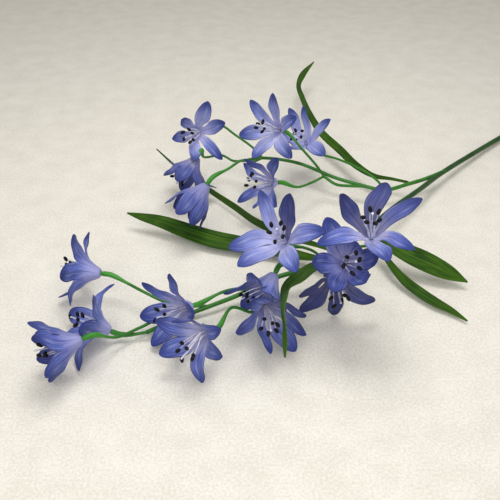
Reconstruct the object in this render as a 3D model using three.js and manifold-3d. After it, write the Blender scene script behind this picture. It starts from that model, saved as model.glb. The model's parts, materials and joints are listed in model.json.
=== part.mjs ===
// Bellflower stem: a made (artificial) spray of seventeen six-lobed florets on a forked green
// stem with six strap leaves, lying on a table.  Millimetres, +Z up, origin under the middle.
import * as THREE from 'three';
import Module from 'manifold-3d';

const wasm = await Module();
wasm.setup();

// ---------------------------------------------------------------- driving sizes
const CENTRE = [120, 71, 0];          // middle of the spray's footprint in the placement lists
const SEAT_GAP = 0.3;                 // clearance between pieces that touch
const COROLLA = {
  length: 33,                         // along a lobe, from the base of the cup to its tip
  joined: 0.32,                       // share of the length where the six lobes are one funnel
  base: 1.2,                          // radius where the cup starts
  half: 5.9,                          // half width of a lobe at its widest
  thick: 0.65,
  cup: 0.16,                          // rise of a lobe's edges over its middle, per half width
};
const LOBES = 6;
const FUNNEL_ROWS = [0.06, 0.18, 0.32];
const LOBE_ROWS = [0.44, 0.57, 0.7, 0.83, 0.94];
const LOBE_WIDTHS = [0.86, 0.96, 0.94, 0.76, 0.42];
const STAMEN = { count: 5, length: 25, filament: 0.4, anther: 1.05, antherLength: 4.0, spread: 0.3 };
const KNOB = { radius: 1.5, from: 1.0, to: 3.2 };
const STEM = { cut: 2.4, fork: 2.1, crown: 1.7 };
const PEDICEL = { thin: 0.95, thick: 1.7, neck: 12 };
const LEAF_THICK = 0.7;

// ---------------------------------------------------------------- where everything lies
// Each floret: foot of its cup, the way it faces [azimuth, elevation], its turn about that line,
// how far each lobe opens (degrees from the line) and how far its tip swings sideways, how wide
// each lobe is against the usual, the way the stamens lean, and the points its pedicel passes
// from the branch.
const FLORETS = [
  { name: 'u1', foot: [-42.2, 89.3, 47], faces: [283, 22], turn: 70, length: 32.6,
    opens: [66, 30, 36, 37, 90, 38], swings: [-1, 5, -8, 1, -3, 10],
    widths: [1, 0.7, 0.8, 0.8, 0.7, 0.9],
    stamens: [244, 14],
    on: 'upper', stalk: [[10, 87, 25], [2, 97, 29], [-12, 105, 36], [-24, 110, 42]] },
  { name: 'u2', foot: [-40, 68, 37], faces: [230, -38], turn: 4, length: 31.5,
    opens: [46, 28, 18, 104, 26, 98], swings: [6, 0, -12, 12, -3, -5], stamens: [222, -30],
    on: 'upper', stalk: [[-6, 79, 27], [-14, 88, 22], [-22, 91, 25], [-36, 78, 31]] },
  { name: 'u3', foot: [23, 78, 54], faces: [230, 27], turn: 90,
    opens: [68, 72, 95, 57, 105, 70], swings: [5, -4, -3, -2, -1, 4],
    widths: [0.8, 0.8, 1, 1, 1, 0.9],
    stamens: [215, 28],
    on: 'upper', stalk: [[57, 64, 22], [51, 62, 32], [38, 71, 44], [30, 82, 49]] },
  { name: 'u4', foot: [-30, 21, 42], faces: [214, -43], turn: 5,
    opens: [20, 22, 14, 10, 10, 12], swings: [8, -8, 4, 0, 0, -4], stamens: [214, -43],
    on: 'upper', stalk: [[10, 87, 25], [2, 69, 32], [-6, 54, 42], [-16, 33, 47]] },
  { name: 'u5', foot: [46, 104, 28], faces: [246, 55], turn: 149,
    opens: [50, 24, 34, 82, 49, 30], swings: [-14, -3, -5, -2, 7, 15],
    widths: [0.75, 1, 0.9, 1, 0.8, 0.5],
    stamens: [228, 36],
    on: 'upper', stalk: [[103, 57, 14], [100, 66, 16], [90, 79, 18], [72, 97, 18], [57, 108, 17]] },
  { name: 'u6', foot: [19, 36, 34], faces: [214, 19], turn: 121, length: 32,
    opens: [24, 104, 62, 34, 74, 84], swings: [4, -6, 0, 14, -14, 3],
    widths: [0.8, 0.6, 0.7, 1, 1, 1],
    stamens: [206, 24],
    on: 'upper', stalk: [[57, 64, 22], [46, 53, 23], [34, 41, 27]] },
  { name: 'm1', foot: [21, -61, 53], faces: [233, 49], turn: 84, length: 35.5,
    opens: [40, 71, 85, 68, 68, 88], swings: [1, -8, 14, -14, 5, 2],
    widths: [1, 0.75, 1, 1, 1, 1],
    stamens: [255, 54],
    on: 'lower', stalk: [[48, -40, 20], [42, -43, 31], [33, -50, 41]] },
  { name: 'm2', foot: [67.4, -77, 68.2], faces: [250, 66], turn: 163, length: 36.7,
    opens: [26, 101, 62, 66, 73, 108], swings: [3, -7, 17, -12, -4, -15],
    widths: [1, 0.9, 0.9, 0.7, 0.8, 1],
    stamens: [252, 66],
    on: 'lower', stalk: [[58, -31, 21], [70, -40, 34], [77, -58, 48]] },
  { name: 'm3', foot: [55.2, -76.9, 50], faces: [256, 43], turn: 132, length: 32.4,
    opens: [82, 25, 26, 21, 25, -5], swings: [-10, 2, 7, 9, 3, -11], stamens: [283, 40],
    on: 'lower', stalk: [[48, -40, 20], [48, -48, 27], [47, -56, 34]] },
  { name: 'm4', foot: [52, -60, 29.4], faces: [267, -8], turn: 100, length: 32.8,
    opens: [80, 53, 75, 106, 100, 73], swings: [0, 7, -2, -7, -5, 7],
    widths: [1, 1, 1, 0.8, 1, 0.6],
    stamens: [275, 0],
    on: 'lower', stalk: [[48, -40, 20], [51, -46, 26], [51, -54, 34]] },
  { name: 'm5', foot: [14.8, -71.7, 38.4], faces: [235, -30], turn: 161, length: 32.6,
    opens: [36, 50, 102, 66, 73, 98], swings: [1, 7, -7, -12, 14, -12], stamens: [192, -24],
    on: 'lower', stalk: [[31, -45, 18], [28, -55, 29], [23, -67, 42]] },
  { name: 'm6', foot: [8.1, -85.3, 25.4], faces: [288, 8], turn: 110, length: 32.3,
    opens: [61, 59, 11, 64, 23, 25], swings: [11, 4, 15, 8, -13, -25],
    widths: [1, 1, 0.6, 1, 0.7, 1],
    stamens: [272, 12],
    on: 'lower', stalk: [[14, -51, 16], [14, -59, 13], [6, -75, 13]] },
  { name: 'l1', foot: [-94, -51, 21], faces: [173, 4], turn: 162, length: 33,
    opens: [90, 50, 38, 100, 80, 88], swings: [-7, 0, 14, 9, -8, -10],
    widths: [0.8, 1, 0.8, 0.9, 1, 1],
    stamens: [198, 30],
    on: 'lower', stalk: [[-25, -65, 6], [-40, -68, 9], [-52, -68, 12], [-66, -63, 16], [-77, -56, 17]] },
  { name: 'l2', foot: [-83.3, -90.3, 9.3], faces: [190, 36], turn: 82,
    opens: [50, 113, 68, 61, 102, 49], swings: [-3, -7, 12, 0, 2, 8], stamens: [200, 42],
    on: 'lower', stalk: [[-62, -88, 6], [-71, -89, 5]] },
  { name: 'l3', foot: [-93, -112, 25], faces: [203, -4], turn: 116, length: 31.2,
    opens: [46, 16, 16, 42, 50, 52], swings: [-14, 14, 1, -14, 12, 12], stamens: [212, 14],
    on: 'lower', stalk: [[-36, -70, 5], [-52, -75, 7], [-66, -86, 8], [-78, -96, 10]] },
  { name: 'l4', foot: [-35, -79, 19], faces: [223, 17], turn: 93, length: 33,
    opens: [72, 50, 69, 46, 36, 68], swings: [2, 3, 2, -8, 2, 0],
    widths: [0.8, 0.6, 1, 1, 0.9, 1],
    stamens: [225, 15],
    on: 'lower', stalk: [[13, -51, 16], [0, -60, 18], [-16, -67, 20]] },
  { name: 'l5', foot: [-22, -107, 26], faces: [226, 15], turn: 118, length: 31.4,
    opens: [18, 60, 54, 100, 74, 84], swings: [-10, 0, -10, -5, 14, -14],
    widths: [0.55, 1, 1, 1, 1, 0.8],
    stamens: [240, -6],
    on: 'lower', stalk: [[13, -51, 16], [7, -62, 10], [2, -79, 14], [-11, -88, 26]] },
];

// The main stem from its cut end to the crown of florets, and the two branches.
const MAIN_STEM = [[362, 281, 2.7], [310, 234, 3], [226, 159, 4.5], [189, 123, 7], [154, 86, 11],
  [130, 56, 15], [103, 23, 20], [82, -3, 21], [62, -26, 21]];
const UPPER_BRANCH = [[158, 90, 11], [139, 75, 13], [124, 66, 14], [103, 57, 14], [89, 61, 15],
  [67, 70, 17], [38, 86, 21], [10, 87, 25], [-6, 79, 27]];
const UPPER_LOOP = [[89, 61, 15], [75, 60, 16], [66, 59, 18], [57, 64, 22]];
const LOWER_BRANCH = [[62, -26, 21], [58, -31, 21], [48, -40, 20], [31, -45, 18], [13, -51, 16],
  [-6, -56, 8], [-25, -65, 6], [-36, -70, 5], [-47, -77, 5], [-62, -88, 6]];

// Each leaf: stations of [x, y, z, half width, azimuth and elevation its upper face looks].
const LEAVES = [
  { name: 'leaf_upper_right', stations: [[124, 68, 14, 1.1, 270, 60], [112, 73, 14, 1.3, 270, 60],
    [98, 76, 15, 2.0, 270, 55], [86, 90, 16, 2.9, 250, 50], [75, 112, 18, 3.3, 240, 50],
    [62, 138, 20, 3.1, 235, 50], [54, 169, 22, 2.7, 230, 45], [49, 204, 23, 2.4, 230, 45],
    [47, 227, 24, 2.2, 260, 40], [52, 248, 26, 2.9, 290, 50], [65, 274, 29, 0.5, 290, 60]] },
  { name: 'leaf_middle_back', stations: [[-79, 121, 14, 0.5, 220, 0], [-58, 94, 11, 1.5, 220, 0],
    [-33, 68, 8, 2.4, 222, 5], [-11, 43, 8, 2.9, 225, 8], [5, 22, 9, 3.0, 228, 10],
    [28, -1, 13, 2.6, 230, 20], [46, -18, 18, 1.6, 240, 40], [57, -29, 21, 1.0, 240, 40]] },
  { name: 'leaf_middle_left', stations: [[-90, 26, 14, 0.5, 265, 62], [-79, 23, 12.5, 2.9, 265, 62],
    [-65, 19, 11, 4.7, 265, 62], [-43, 9, 9, 6.2, 265, 62], [-25, 2, 7.5, 6.6, 265, 62],
    [-7, -3, 7, 6.3, 265, 64], [14, -8, 7, 5.3, 265, 66], [35, -17, 8, 3.6, 262, 70],
    [48, -26, 13, 1.8, 255, 70], [56, -32, 20, 1.0, 255, 70]] },
  { name: 'leaf_crown_front', stations: [[50, -46, 25, 1.5, 250, 60], [39, -57, 31, 3.5, 245, 55],
    [30, -73, 37, 4.8, 235, 50], [22, -88, 41, 4.7, 225, 42], [19, -102, 45, 3.4, 200, 30],
    [18, -111, 44, 2.3, 170, 20], [19, -118, 40, 2.6, 190, 10], [19, -121, 32, 1.9, 220, 5],
    [19, -124, 23, 0.5, 230, 0]] },
  { name: 'leaf_right_long', stations: [[80, -8, 22, 1.5, 270, 60], [93, -18, 19.5, 4.4, 268, 58],
    [106, -26, 16.5, 6.5, 266, 56], [119, -31.5, 13, 6.9, 266, 56], [132, -37, 9, 5.0, 266, 56],
    [143, -42, 6, 0.5, 266, 56]] },
  { name: 'leaf_right_low', stations: [[82, -4, 20, 1.1, 250, 50], [88, -17, 15, 1.4, 250, 50],
    [95, -32, 10.5, 2.3, 245, 50], [102, -43, 7.5, 3.1, 240, 52], [110, -52, 5.5, 3.4, 240, 55],
    [118, -60, 4.5, 3.1, 240, 60], [127, -67, 3.5, 2.1, 240, 65], [135, -75, 2.5, 0.5, 240, 70]] },
];

// ---------------------------------------------------------------- small helpers
const RAD = Math.PI / 180;

/** A point of the placement lists, moved so that the origin is under the spray's middle. */
function place(p) {
  return new THREE.Vector3(p[0] - CENTRE[0], p[1] - CENTRE[1], p[2] - CENTRE[2]);
}

/** The unit direction of an azimuth and an elevation in degrees. */
function direction([azimuth, elevation]) {
  const level = Math.cos(elevation * RAD);
  return new THREE.Vector3(
    level * Math.cos(azimuth * RAD),
    level * Math.sin(azimuth * RAD),
    Math.sin(elevation * RAD),
  );
}

/** base + the sum of weight * vector over the pairs given. */
function along(base, ...pairs) {
  const out = base.clone();
  for (const [vector, weight] of pairs) out.addScaledVector(vector, weight);
  return out;
}

function smooth(x) {
  const u = Math.min(Math.max(x, 0), 1);
  return u * u * (3 - 2 * u);
}

/** Collects shared points and triangles of one closed body. */
class Shell {
  constructor() {
    this.points = [];
    this.faces = [];
  }

  add(point) {
    this.points.push(point);
    return this.points.length - 1;
  }

  triangle(a, b, c) {
    this.faces.push([a, b, c]);
  }

  quad(a, b, c, d) {
    this.triangle(a, b, c);
    this.triangle(a, c, d);
  }

  /** The body as a manifold solid; a shell drawn inside out is turned first. */
  solid() {
    let volume = 0;
    for (const [a, b, c] of this.faces) {
      const cross = new THREE.Vector3().crossVectors(this.points[b], this.points[c]);
      volume += this.points[a].dot(cross);
    }
    const faces = volume < 0 ? this.faces.map(([a, b, c]) => [a, c, b]) : this.faces;
    const mesh = new wasm.Mesh({
      numProp: 3,
      vertProperties: new Float32Array(this.points.flatMap((p) => [p.x, p.y, p.z])),
      triVerts: new Uint32Array(faces.flat()),
    });
    return new wasm.Manifold(mesh);
  }
}

/** A closed rod of changing radius through the points given. */
function rod(points, radii, sides) {
  const shell = new Shell();
  const last = points.length - 1;
  const rings = [];
  let across = null;
  for (let i = 0; i <= last; i += 1) {
    const before = points[Math.max(i - 1, 0)];
    const after = points[Math.min(i + 1, last)];
    const ahead = new THREE.Vector3().subVectors(after, before).normalize();
    if (across === null) {
      const helper = Math.abs(ahead.z) > 0.9 ? new THREE.Vector3(1, 0, 0) : new THREE.Vector3(0, 0, 1);
      across = new THREE.Vector3().crossVectors(ahead, helper);
    }
    across.addScaledVector(ahead, -across.dot(ahead)).normalize();
    const up = new THREE.Vector3().crossVectors(ahead, across);
    const ring = [];
    for (let k = 0; k < sides; k += 1) {
      const turn = (2 * Math.PI * k) / sides;
      const x = radii[i] * Math.cos(turn);
      const y = radii[i] * Math.sin(turn);
      ring.push(shell.add(along(points[i], [across, x], [up, y])));
    }
    rings.push(ring);
  }
  for (let i = 0; i < last; i += 1) {
    for (let k = 0; k < sides; k += 1) {
      const next = (k + 1) % sides;
      shell.quad(rings[i][k], rings[i][next], rings[i + 1][next], rings[i + 1][k]);
    }
  }
  for (let k = 1; k < sides - 1; k += 1) {
    shell.triangle(rings[0][0], rings[0][k + 1], rings[0][k]);
    shell.triangle(rings[last][0], rings[last][k], rings[last][k + 1]);
  }
  return shell.solid();
}

/** Points evenly spread on a smooth curve through the knots. */
function curve(knots, count) {
  return new THREE.CatmullRomCurve3(knots, false, 'centripetal').getSpacedPoints(count);
}

/** Joins solids into one. */
function fuse(solids) {
  return solids.reduce((whole, solid) => whole.add(solid));
}

/** One named mesh of the group from a manifold solid. */
function mesh(name, solid, colour, roughness) {
  const data = solid.getMesh();
  const geometry = new THREE.BufferGeometry();
  geometry.setAttribute('position', new THREE.BufferAttribute(data.vertProperties, 3));
  geometry.setIndex(new THREE.BufferAttribute(data.triVerts, 1));
  geometry.computeVertexNormals();
  const material = new THREE.MeshStandardMaterial({ color: colour, roughness });
  const part = new THREE.Mesh(geometry, material);
  part.name = name;
  return part;
}

// ---------------------------------------------------------------- florets
/** The floret's own axes: the way it faces and two directions across it. */
function axes(floret) {
  const ahead = direction(floret.faces);
  const level = new THREE.Vector3().crossVectors(new THREE.Vector3(0, 0, 1), ahead).normalize();
  const upright = new THREE.Vector3().crossVectors(ahead, level);
  const c = Math.cos(floret.turn * RAD);
  const s = Math.sin(floret.turn * RAD);
  const first = along(new THREE.Vector3(), [level, c], [upright, s]);
  const second = along(new THREE.Vector3(), [level, -s], [upright, c]);
  return { ahead, first, second };
}

/** Angle between a lobe's middle line and the floret's axis at a share of its length. */
function slope(share, opens) {
  const neck = 24 + 14 * Math.min(share / COROLLA.joined, 1) ** 2;
  const floor = 61 * Math.exp(-((share / 0.055) ** 2));
  return (neck + floor + (opens - 38) * smooth((share - 0.288) / 0.5)) * RAD;
}

/** Radius and height of a lobe's middle line at a share of its length. */
function reach(share, opens, length) {
  const steps = 60;
  const step = share / steps;
  let radius = COROLLA.base;
  let height = 0;
  for (let i = 0; i < steps; i += 1) {
    const angle = slope((i + 0.5) * step, opens);
    radius += Math.sin(angle) * step * length;
    height += Math.cos(angle) * step * length;
  }
  return { radius, height };
}

/** Six lobes joined in a funnel below, as one closed skin. */
function corolla(floret) {
  const { ahead, first, second } = axes(floret);
  const length = floret.length ?? COROLLA.length;
  const foot = place(floret.foot);
  const shell = new Shell();
  const spoke = (turn) => along(new THREE.Vector3(),
    [first, Math.cos(turn * RAD)], [second, Math.sin(turn * RAD)]);
  const pole = shell.add(foot.clone());
  const poleInner = shell.add(along(foot, [ahead, COROLLA.thick]));

  // The funnel: twelve points round, on the lobes' middles and on the seams between them.
  const rings = FUNNEL_ROWS.map((share) => {
    const { radius, height } = reach(share, 38, length);
    const angle = slope(share, 38);
    const ring = { outer: [], inner: [] };
    for (let k = 0; k < 2 * LOBES; k += 1) {
      const out = spoke((k * 180) / LOBES);
      const at = along(foot, [ahead, height], [out, radius]);
      ring.outer.push(shell.add(at));
      ring.inner.push(shell.add(along(at,
        [ahead, COROLLA.thick * Math.sin(angle)], [out, -COROLLA.thick * Math.cos(angle)])));
    }
    return ring;
  });
  for (let k = 0; k < 2 * LOBES; k += 1) {
    const next = (k + 1) % (2 * LOBES);
    shell.triangle(pole, rings[0].outer[next], rings[0].outer[k]);
    shell.triangle(poleInner, rings[0].inner[k], rings[0].inner[next]);
    for (let r = 0; r + 1 < rings.length; r += 1) {
      shell.quad(rings[r].outer[k], rings[r].outer[next],
        rings[r + 1].outer[next], rings[r + 1].outer[k]);
      shell.quad(rings[r].inner[k], rings[r + 1].inner[k],
        rings[r + 1].inner[next], rings[r].inner[next]);
    }
  }

  // The free lobes, each three points across on both skins.
  const top = rings[rings.length - 1];
  for (let lobe = 0; lobe < LOBES; lobe += 1) {
    const opens = floret.opens[lobe];
    const full = floret.widths?.[lobe] ?? 1;
    const middle = 2 * lobe;
    const left = (middle + 2 * LOBES - 1) % (2 * LOBES);
    const right = middle + 1;
    let outer = [top.outer[left], top.outer[middle], top.outer[right]];
    let inner = [top.inner[left], top.inner[middle], top.inner[right]];
    const station = (share, width) => {
      const { radius, height } = reach(share, opens, length);
      const angle = slope(share, opens);
      const turn = (lobe * 360) / LOBES + floret.swings[lobe] * smooth((share - 0.288) / 0.5);
      const out = spoke(turn);
      const across = new THREE.Vector3().crossVectors(ahead, out);
      const at = along(foot, [ahead, height], [out, radius]);
      const face = along(new THREE.Vector3(), [ahead, Math.sin(angle)], [out, -Math.cos(angle)]);
      const lift = COROLLA.cup * width;
      const skin = (raise) => [
        along(at, [across, -width], [face, lift + raise]),
        along(at, [face, raise]),
        along(at, [across, width], [face, lift + raise]),
      ];
      return { outer: skin(0), inner: skin(COROLLA.thick) };
    };
    LOBE_ROWS.forEach((share, row) => {
      const room = 0.5 * reach(share, opens, length).radius;
      const width = Math.min(LOBE_WIDTHS[row] * COROLLA.half * full, room);
      const points = station(share, width);
      const outerNext = points.outer.map((p) => shell.add(p));
      const innerNext = points.inner.map((p) => shell.add(p));
      for (let j = 0; j < 2; j += 1) {
        shell.quad(outer[j], outer[j + 1], outerNext[j + 1], outerNext[j]);
        shell.quad(inner[j], innerNext[j], innerNext[j + 1], inner[j + 1]);
      }
      shell.quad(outer[0], outerNext[0], innerNext[0], inner[0]);
      shell.quad(outer[2], inner[2], innerNext[2], outerNext[2]);
      outer = outerNext;
      inner = innerNext;
    });
    const tip = station(1, 0);
    const tipOuter = shell.add(tip.outer[1]);
    const tipInner = shell.add(tip.inner[1]);
    for (let j = 0; j < 2; j += 1) {
      shell.triangle(outer[j], outer[j + 1], tipOuter);
      shell.triangle(inner[j], tipInner, inner[j + 1]);
    }
    shell.quad(outer[0], tipOuter, tipInner, inner[0]);
    shell.quad(outer[2], inner[2], tipInner, tipOuter);
  }
  return shell.solid();
}

/** Filaments with their anthers and the style, standing on one knob in the cup. */
function stamens(floret) {
  const { ahead, first, second } = axes(floret);
  const foot = place(floret.foot);
  const lean = direction(floret.stamens);
  const knob = rod(
    [along(foot, [ahead, KNOB.from]), along(foot, [ahead, KNOB.to])],
    [KNOB.radius, 0.6 * KNOB.radius],
    6,
  );
  const rods = [knob];
  for (let i = 0; i <= STAMEN.count; i += 1) {
    const style = i === STAMEN.count;
    const turn = (i * 2 * Math.PI) / STAMEN.count + 0.3;
    const out = style ? new THREE.Vector3() : along(new THREE.Vector3(),
      [first, Math.cos(turn)], [second, Math.sin(turn)]);
    const way = along(lean, [out, STAMEN.spread]).normalize();
    const long = STAMEN.length * (style ? 1.06 : 0.9 + 0.05 * (i % 3)) - 9;
    const bend = along(foot, [ahead, 9], [out, 2.0]);
    const points = [along(foot, [ahead, 2], [out, 0.7]), bend];
    const radii = [STAMEN.filament, STAMEN.filament];
    const tip = style ? 0 : STAMEN.antherLength;
    points.push(along(bend, [way, long - tip]));
    radii.push(STAMEN.filament);
    points.push(along(bend, [way, long - 0.5 * tip + (style ? 0.6 : 0)]));
    radii.push(style ? 0.55 : STAMEN.anther);
    if (!style) {
      points.push(along(bend, [way, long]));
      radii.push(STAMEN.filament);
    }
    rods.push(rod(points, radii, 3));
  }
  return fuse(rods);
}

/** A floret's stalk from its branch, thickened to a green neck under the cup. */
function pedicel(floret, gap) {
  const ahead = direction(floret.faces);
  const foot = place(floret.foot);
  const knots = floret.stalk.map(place);
  knots.push(along(foot, [ahead, -PEDICEL.neck * 0.5]));
  knots.push(along(foot, [ahead, -SEAT_GAP]));
  const count = knots.length + 3;
  const points = curve(knots, count);
  const whole = new THREE.CatmullRomCurve3(knots, false, 'centripetal').getLength();
  const radii = points.map((_, i) => {
    const left = whole * (1 - i / count);
    return PEDICEL.thin + (PEDICEL.thick - PEDICEL.thin) * smooth(1.6 - left / PEDICEL.neck) + gap;
  });
  return rod(points, radii, 5);
}

// ---------------------------------------------------------------- stems and leaves
/** The main stem, or the room it takes when a gap is added. */
function mainStem(gap) {
  const points = curve(MAIN_STEM.map(place), 16);
  const radii = points.map((_, i) => {
    const share = i / 16;
    return (share < 0.6
      ? STEM.cut + ((STEM.fork - STEM.cut) * share) / 0.6
      : STEM.fork + ((STEM.crown - STEM.fork) * (share - 0.6)) / 0.4) + gap;
  });
  return rod(points, radii, 8);
}

function branch(knots, count, from, to, gap) {
  const points = curve(knots.map(place), count);
  return rod(points, points.map((_, i) => from + ((to - from) * i) / count + gap), 6);
}

function stalks(which, gap) {
  return FLORETS.filter((floret) => floret.on === which).map((floret) => pedicel(floret, gap));
}

function upperBranch(gap) {
  return fuse([branch(UPPER_BRANCH, 16, 1.6, 1.2, gap), branch(UPPER_LOOP, 6, 1.1, 1.2, gap),
    ...stalks('upper', gap)]);
}

function lowerBranch(gap) {
  return fuse([branch(LOWER_BRANCH, 16, 1.7, 1.3, gap), ...stalks('lower', gap)]);
}

/** A strap leaf: a thin keeled blade through its stations. */
function leaf(stations) {
  const shell = new Shell();
  const centres = stations.map(place);
  const last = stations.length - 1;
  const rows = stations.map(([, , , half, azimuth, elevation], i) => {
    const ahead = new THREE.Vector3()
      .subVectors(centres[Math.min(i + 1, last)], centres[Math.max(i - 1, 0)])
      .normalize();
    const side = new THREE.Vector3().crossVectors(ahead, direction([azimuth, elevation])).normalize();
    const face = new THREE.Vector3().crossVectors(side, ahead);
    const skin = (raise) => [-1, 0, 1].map((s) => shell.add(along(centres[i],
      [side, s * half], [face, raise + 0.18 * half * Math.abs(s)])));
    return { upper: skin(LEAF_THICK / 2), lower: skin(-LEAF_THICK / 2) };
  });
  for (let i = 0; i < last; i += 1) {
    const a = rows[i];
    const b = rows[i + 1];
    for (let j = 0; j < 2; j += 1) {
      shell.quad(a.upper[j], a.upper[j + 1], b.upper[j + 1], b.upper[j]);
      shell.triangle(a.lower[j], b.lower[j + 1], a.lower[j + 1]);
      shell.triangle(a.lower[j], b.lower[j], b.lower[j + 1]);
    }
    shell.quad(a.upper[0], b.upper[0], b.lower[0], a.lower[0]);
    shell.quad(a.upper[2], a.lower[2], b.lower[2], b.upper[2]);
  }
  for (const [row, flip] of [[rows[0], false], [rows[last], true]]) {
    for (let j = 0; j < 2; j += 1) {
      const corners = [row.upper[j], row.lower[j], row.lower[j + 1], row.upper[j + 1]];
      shell.quad(...(flip ? corners.reverse() : corners));
    }
  }
  return shell.solid();
}

// ---------------------------------------------------------------- the spray
const group = new THREE.Group();
group.name = 'bellflower_stem';

const stem = mainStem(0);
const stemRoom = mainStem(SEAT_GAP);
const upper = upperBranch(0).subtract(stemRoom);
const lower = lowerBranch(0).subtract(stemRoom);
const room = fuse([stemRoom, upperBranch(SEAT_GAP), lowerBranch(SEAT_GAP)]);
group.add(mesh('main_stem', stem, 0x2f7d3a, 0.4));
group.add(mesh('upper_branch', upper, 0x46a052, 0.4));
group.add(mesh('lower_branch', lower, 0x46a052, 0.4));
for (const blade of LEAVES) {
  group.add(mesh(blade.name, leaf(blade.stations).subtract(room), 0x2f6b1e, 0.6));
}
for (const floret of FLORETS) {
  group.add(mesh(`petals_${floret.name}`, corolla(floret), 0x7f86d8, 0.7));
  group.add(mesh(`stamens_${floret.name}`, stamens(floret), 0x16161c, 0.6));
}

export default group;
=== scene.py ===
"""The looks of a made bellflower spray that lies on a table.

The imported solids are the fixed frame. Each class below makes one family of pieces of the spray
over them: corollas, stamens, stems and strap leaves. Sizes are in millimetres in the lists and
become metres in the meshes.
"""

import json
import logging
import math
import random
from dataclasses import dataclass, field
from enum import Enum
from typing import Callable, Iterable, Optional, Sequence

import bmesh
import bpy
import numpy as np
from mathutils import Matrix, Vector

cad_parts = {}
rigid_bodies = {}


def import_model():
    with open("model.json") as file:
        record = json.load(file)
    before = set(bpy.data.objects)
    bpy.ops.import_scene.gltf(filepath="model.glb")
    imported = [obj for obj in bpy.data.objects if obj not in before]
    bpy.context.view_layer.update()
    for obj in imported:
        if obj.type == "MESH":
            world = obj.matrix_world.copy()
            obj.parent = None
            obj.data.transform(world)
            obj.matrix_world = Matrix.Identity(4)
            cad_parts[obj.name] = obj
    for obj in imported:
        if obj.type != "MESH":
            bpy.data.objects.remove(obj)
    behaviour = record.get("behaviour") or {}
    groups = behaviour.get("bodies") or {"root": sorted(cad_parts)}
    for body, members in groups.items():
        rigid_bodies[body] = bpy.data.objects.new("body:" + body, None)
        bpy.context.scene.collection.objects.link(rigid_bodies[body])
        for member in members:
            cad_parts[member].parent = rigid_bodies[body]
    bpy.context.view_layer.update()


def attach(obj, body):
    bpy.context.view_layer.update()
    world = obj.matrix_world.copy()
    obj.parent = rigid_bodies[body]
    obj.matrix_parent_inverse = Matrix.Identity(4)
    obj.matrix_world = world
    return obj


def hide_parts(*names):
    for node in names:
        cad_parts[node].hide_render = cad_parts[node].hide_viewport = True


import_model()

LOG = logging.getLogger("bellflower")
MM = 0.001
LOBES = 6
MIDDLE = np.array((120.0, 71.0, 0.0))
UP = np.array((0.0, 0.0, 1.0))
Colour = tuple[float, float, float]
Point = tuple[float, float, float]
Turn = tuple[float, float]


class Slot(Enum):
    """The record's material slots."""

    STEM = "stem"
    BRANCH = "branch"
    LEAF = "leaf"
    PETAL = "petal"
    STAMEN = "stamen"


class Branch(Enum):
    """The branch that carries a floret."""

    UPPER = "upper"
    LOWER = "lower"


class Cut(Enum):
    """How a corolla is slit: where its lobes part, and how soon they reach their full width."""

    BELL = (0.32, 0.24)
    STAR = (0.20, 0.50)


# ------------------------------------------------------------------ where everything lies
@dataclass(frozen=True)
class Floret:
    """One floret: its foot, the way it faces, its lobes, its stamens and its stalk."""

    name: str
    foot: Point
    faces: Turn
    turn: float
    opens: tuple[float, ...]
    swings: tuple[float, ...]
    stamens: Turn
    on: Branch
    stalk: tuple[Point, ...]
    length: float = 33.0
    cut: Cut = Cut.BELL
    # A corolla's tone and each lobe's offset darken or pale it: partly its own tone, partly painted shade
    # on florets and lobes turned from the light and painted light on those turned to it.
    tone: float = 0.0
    lobe_tone_and_shading: tuple[float, ...] = (0.0,) * LOBES
    widths: tuple[float, ...] = (1.0,) * LOBES
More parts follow.
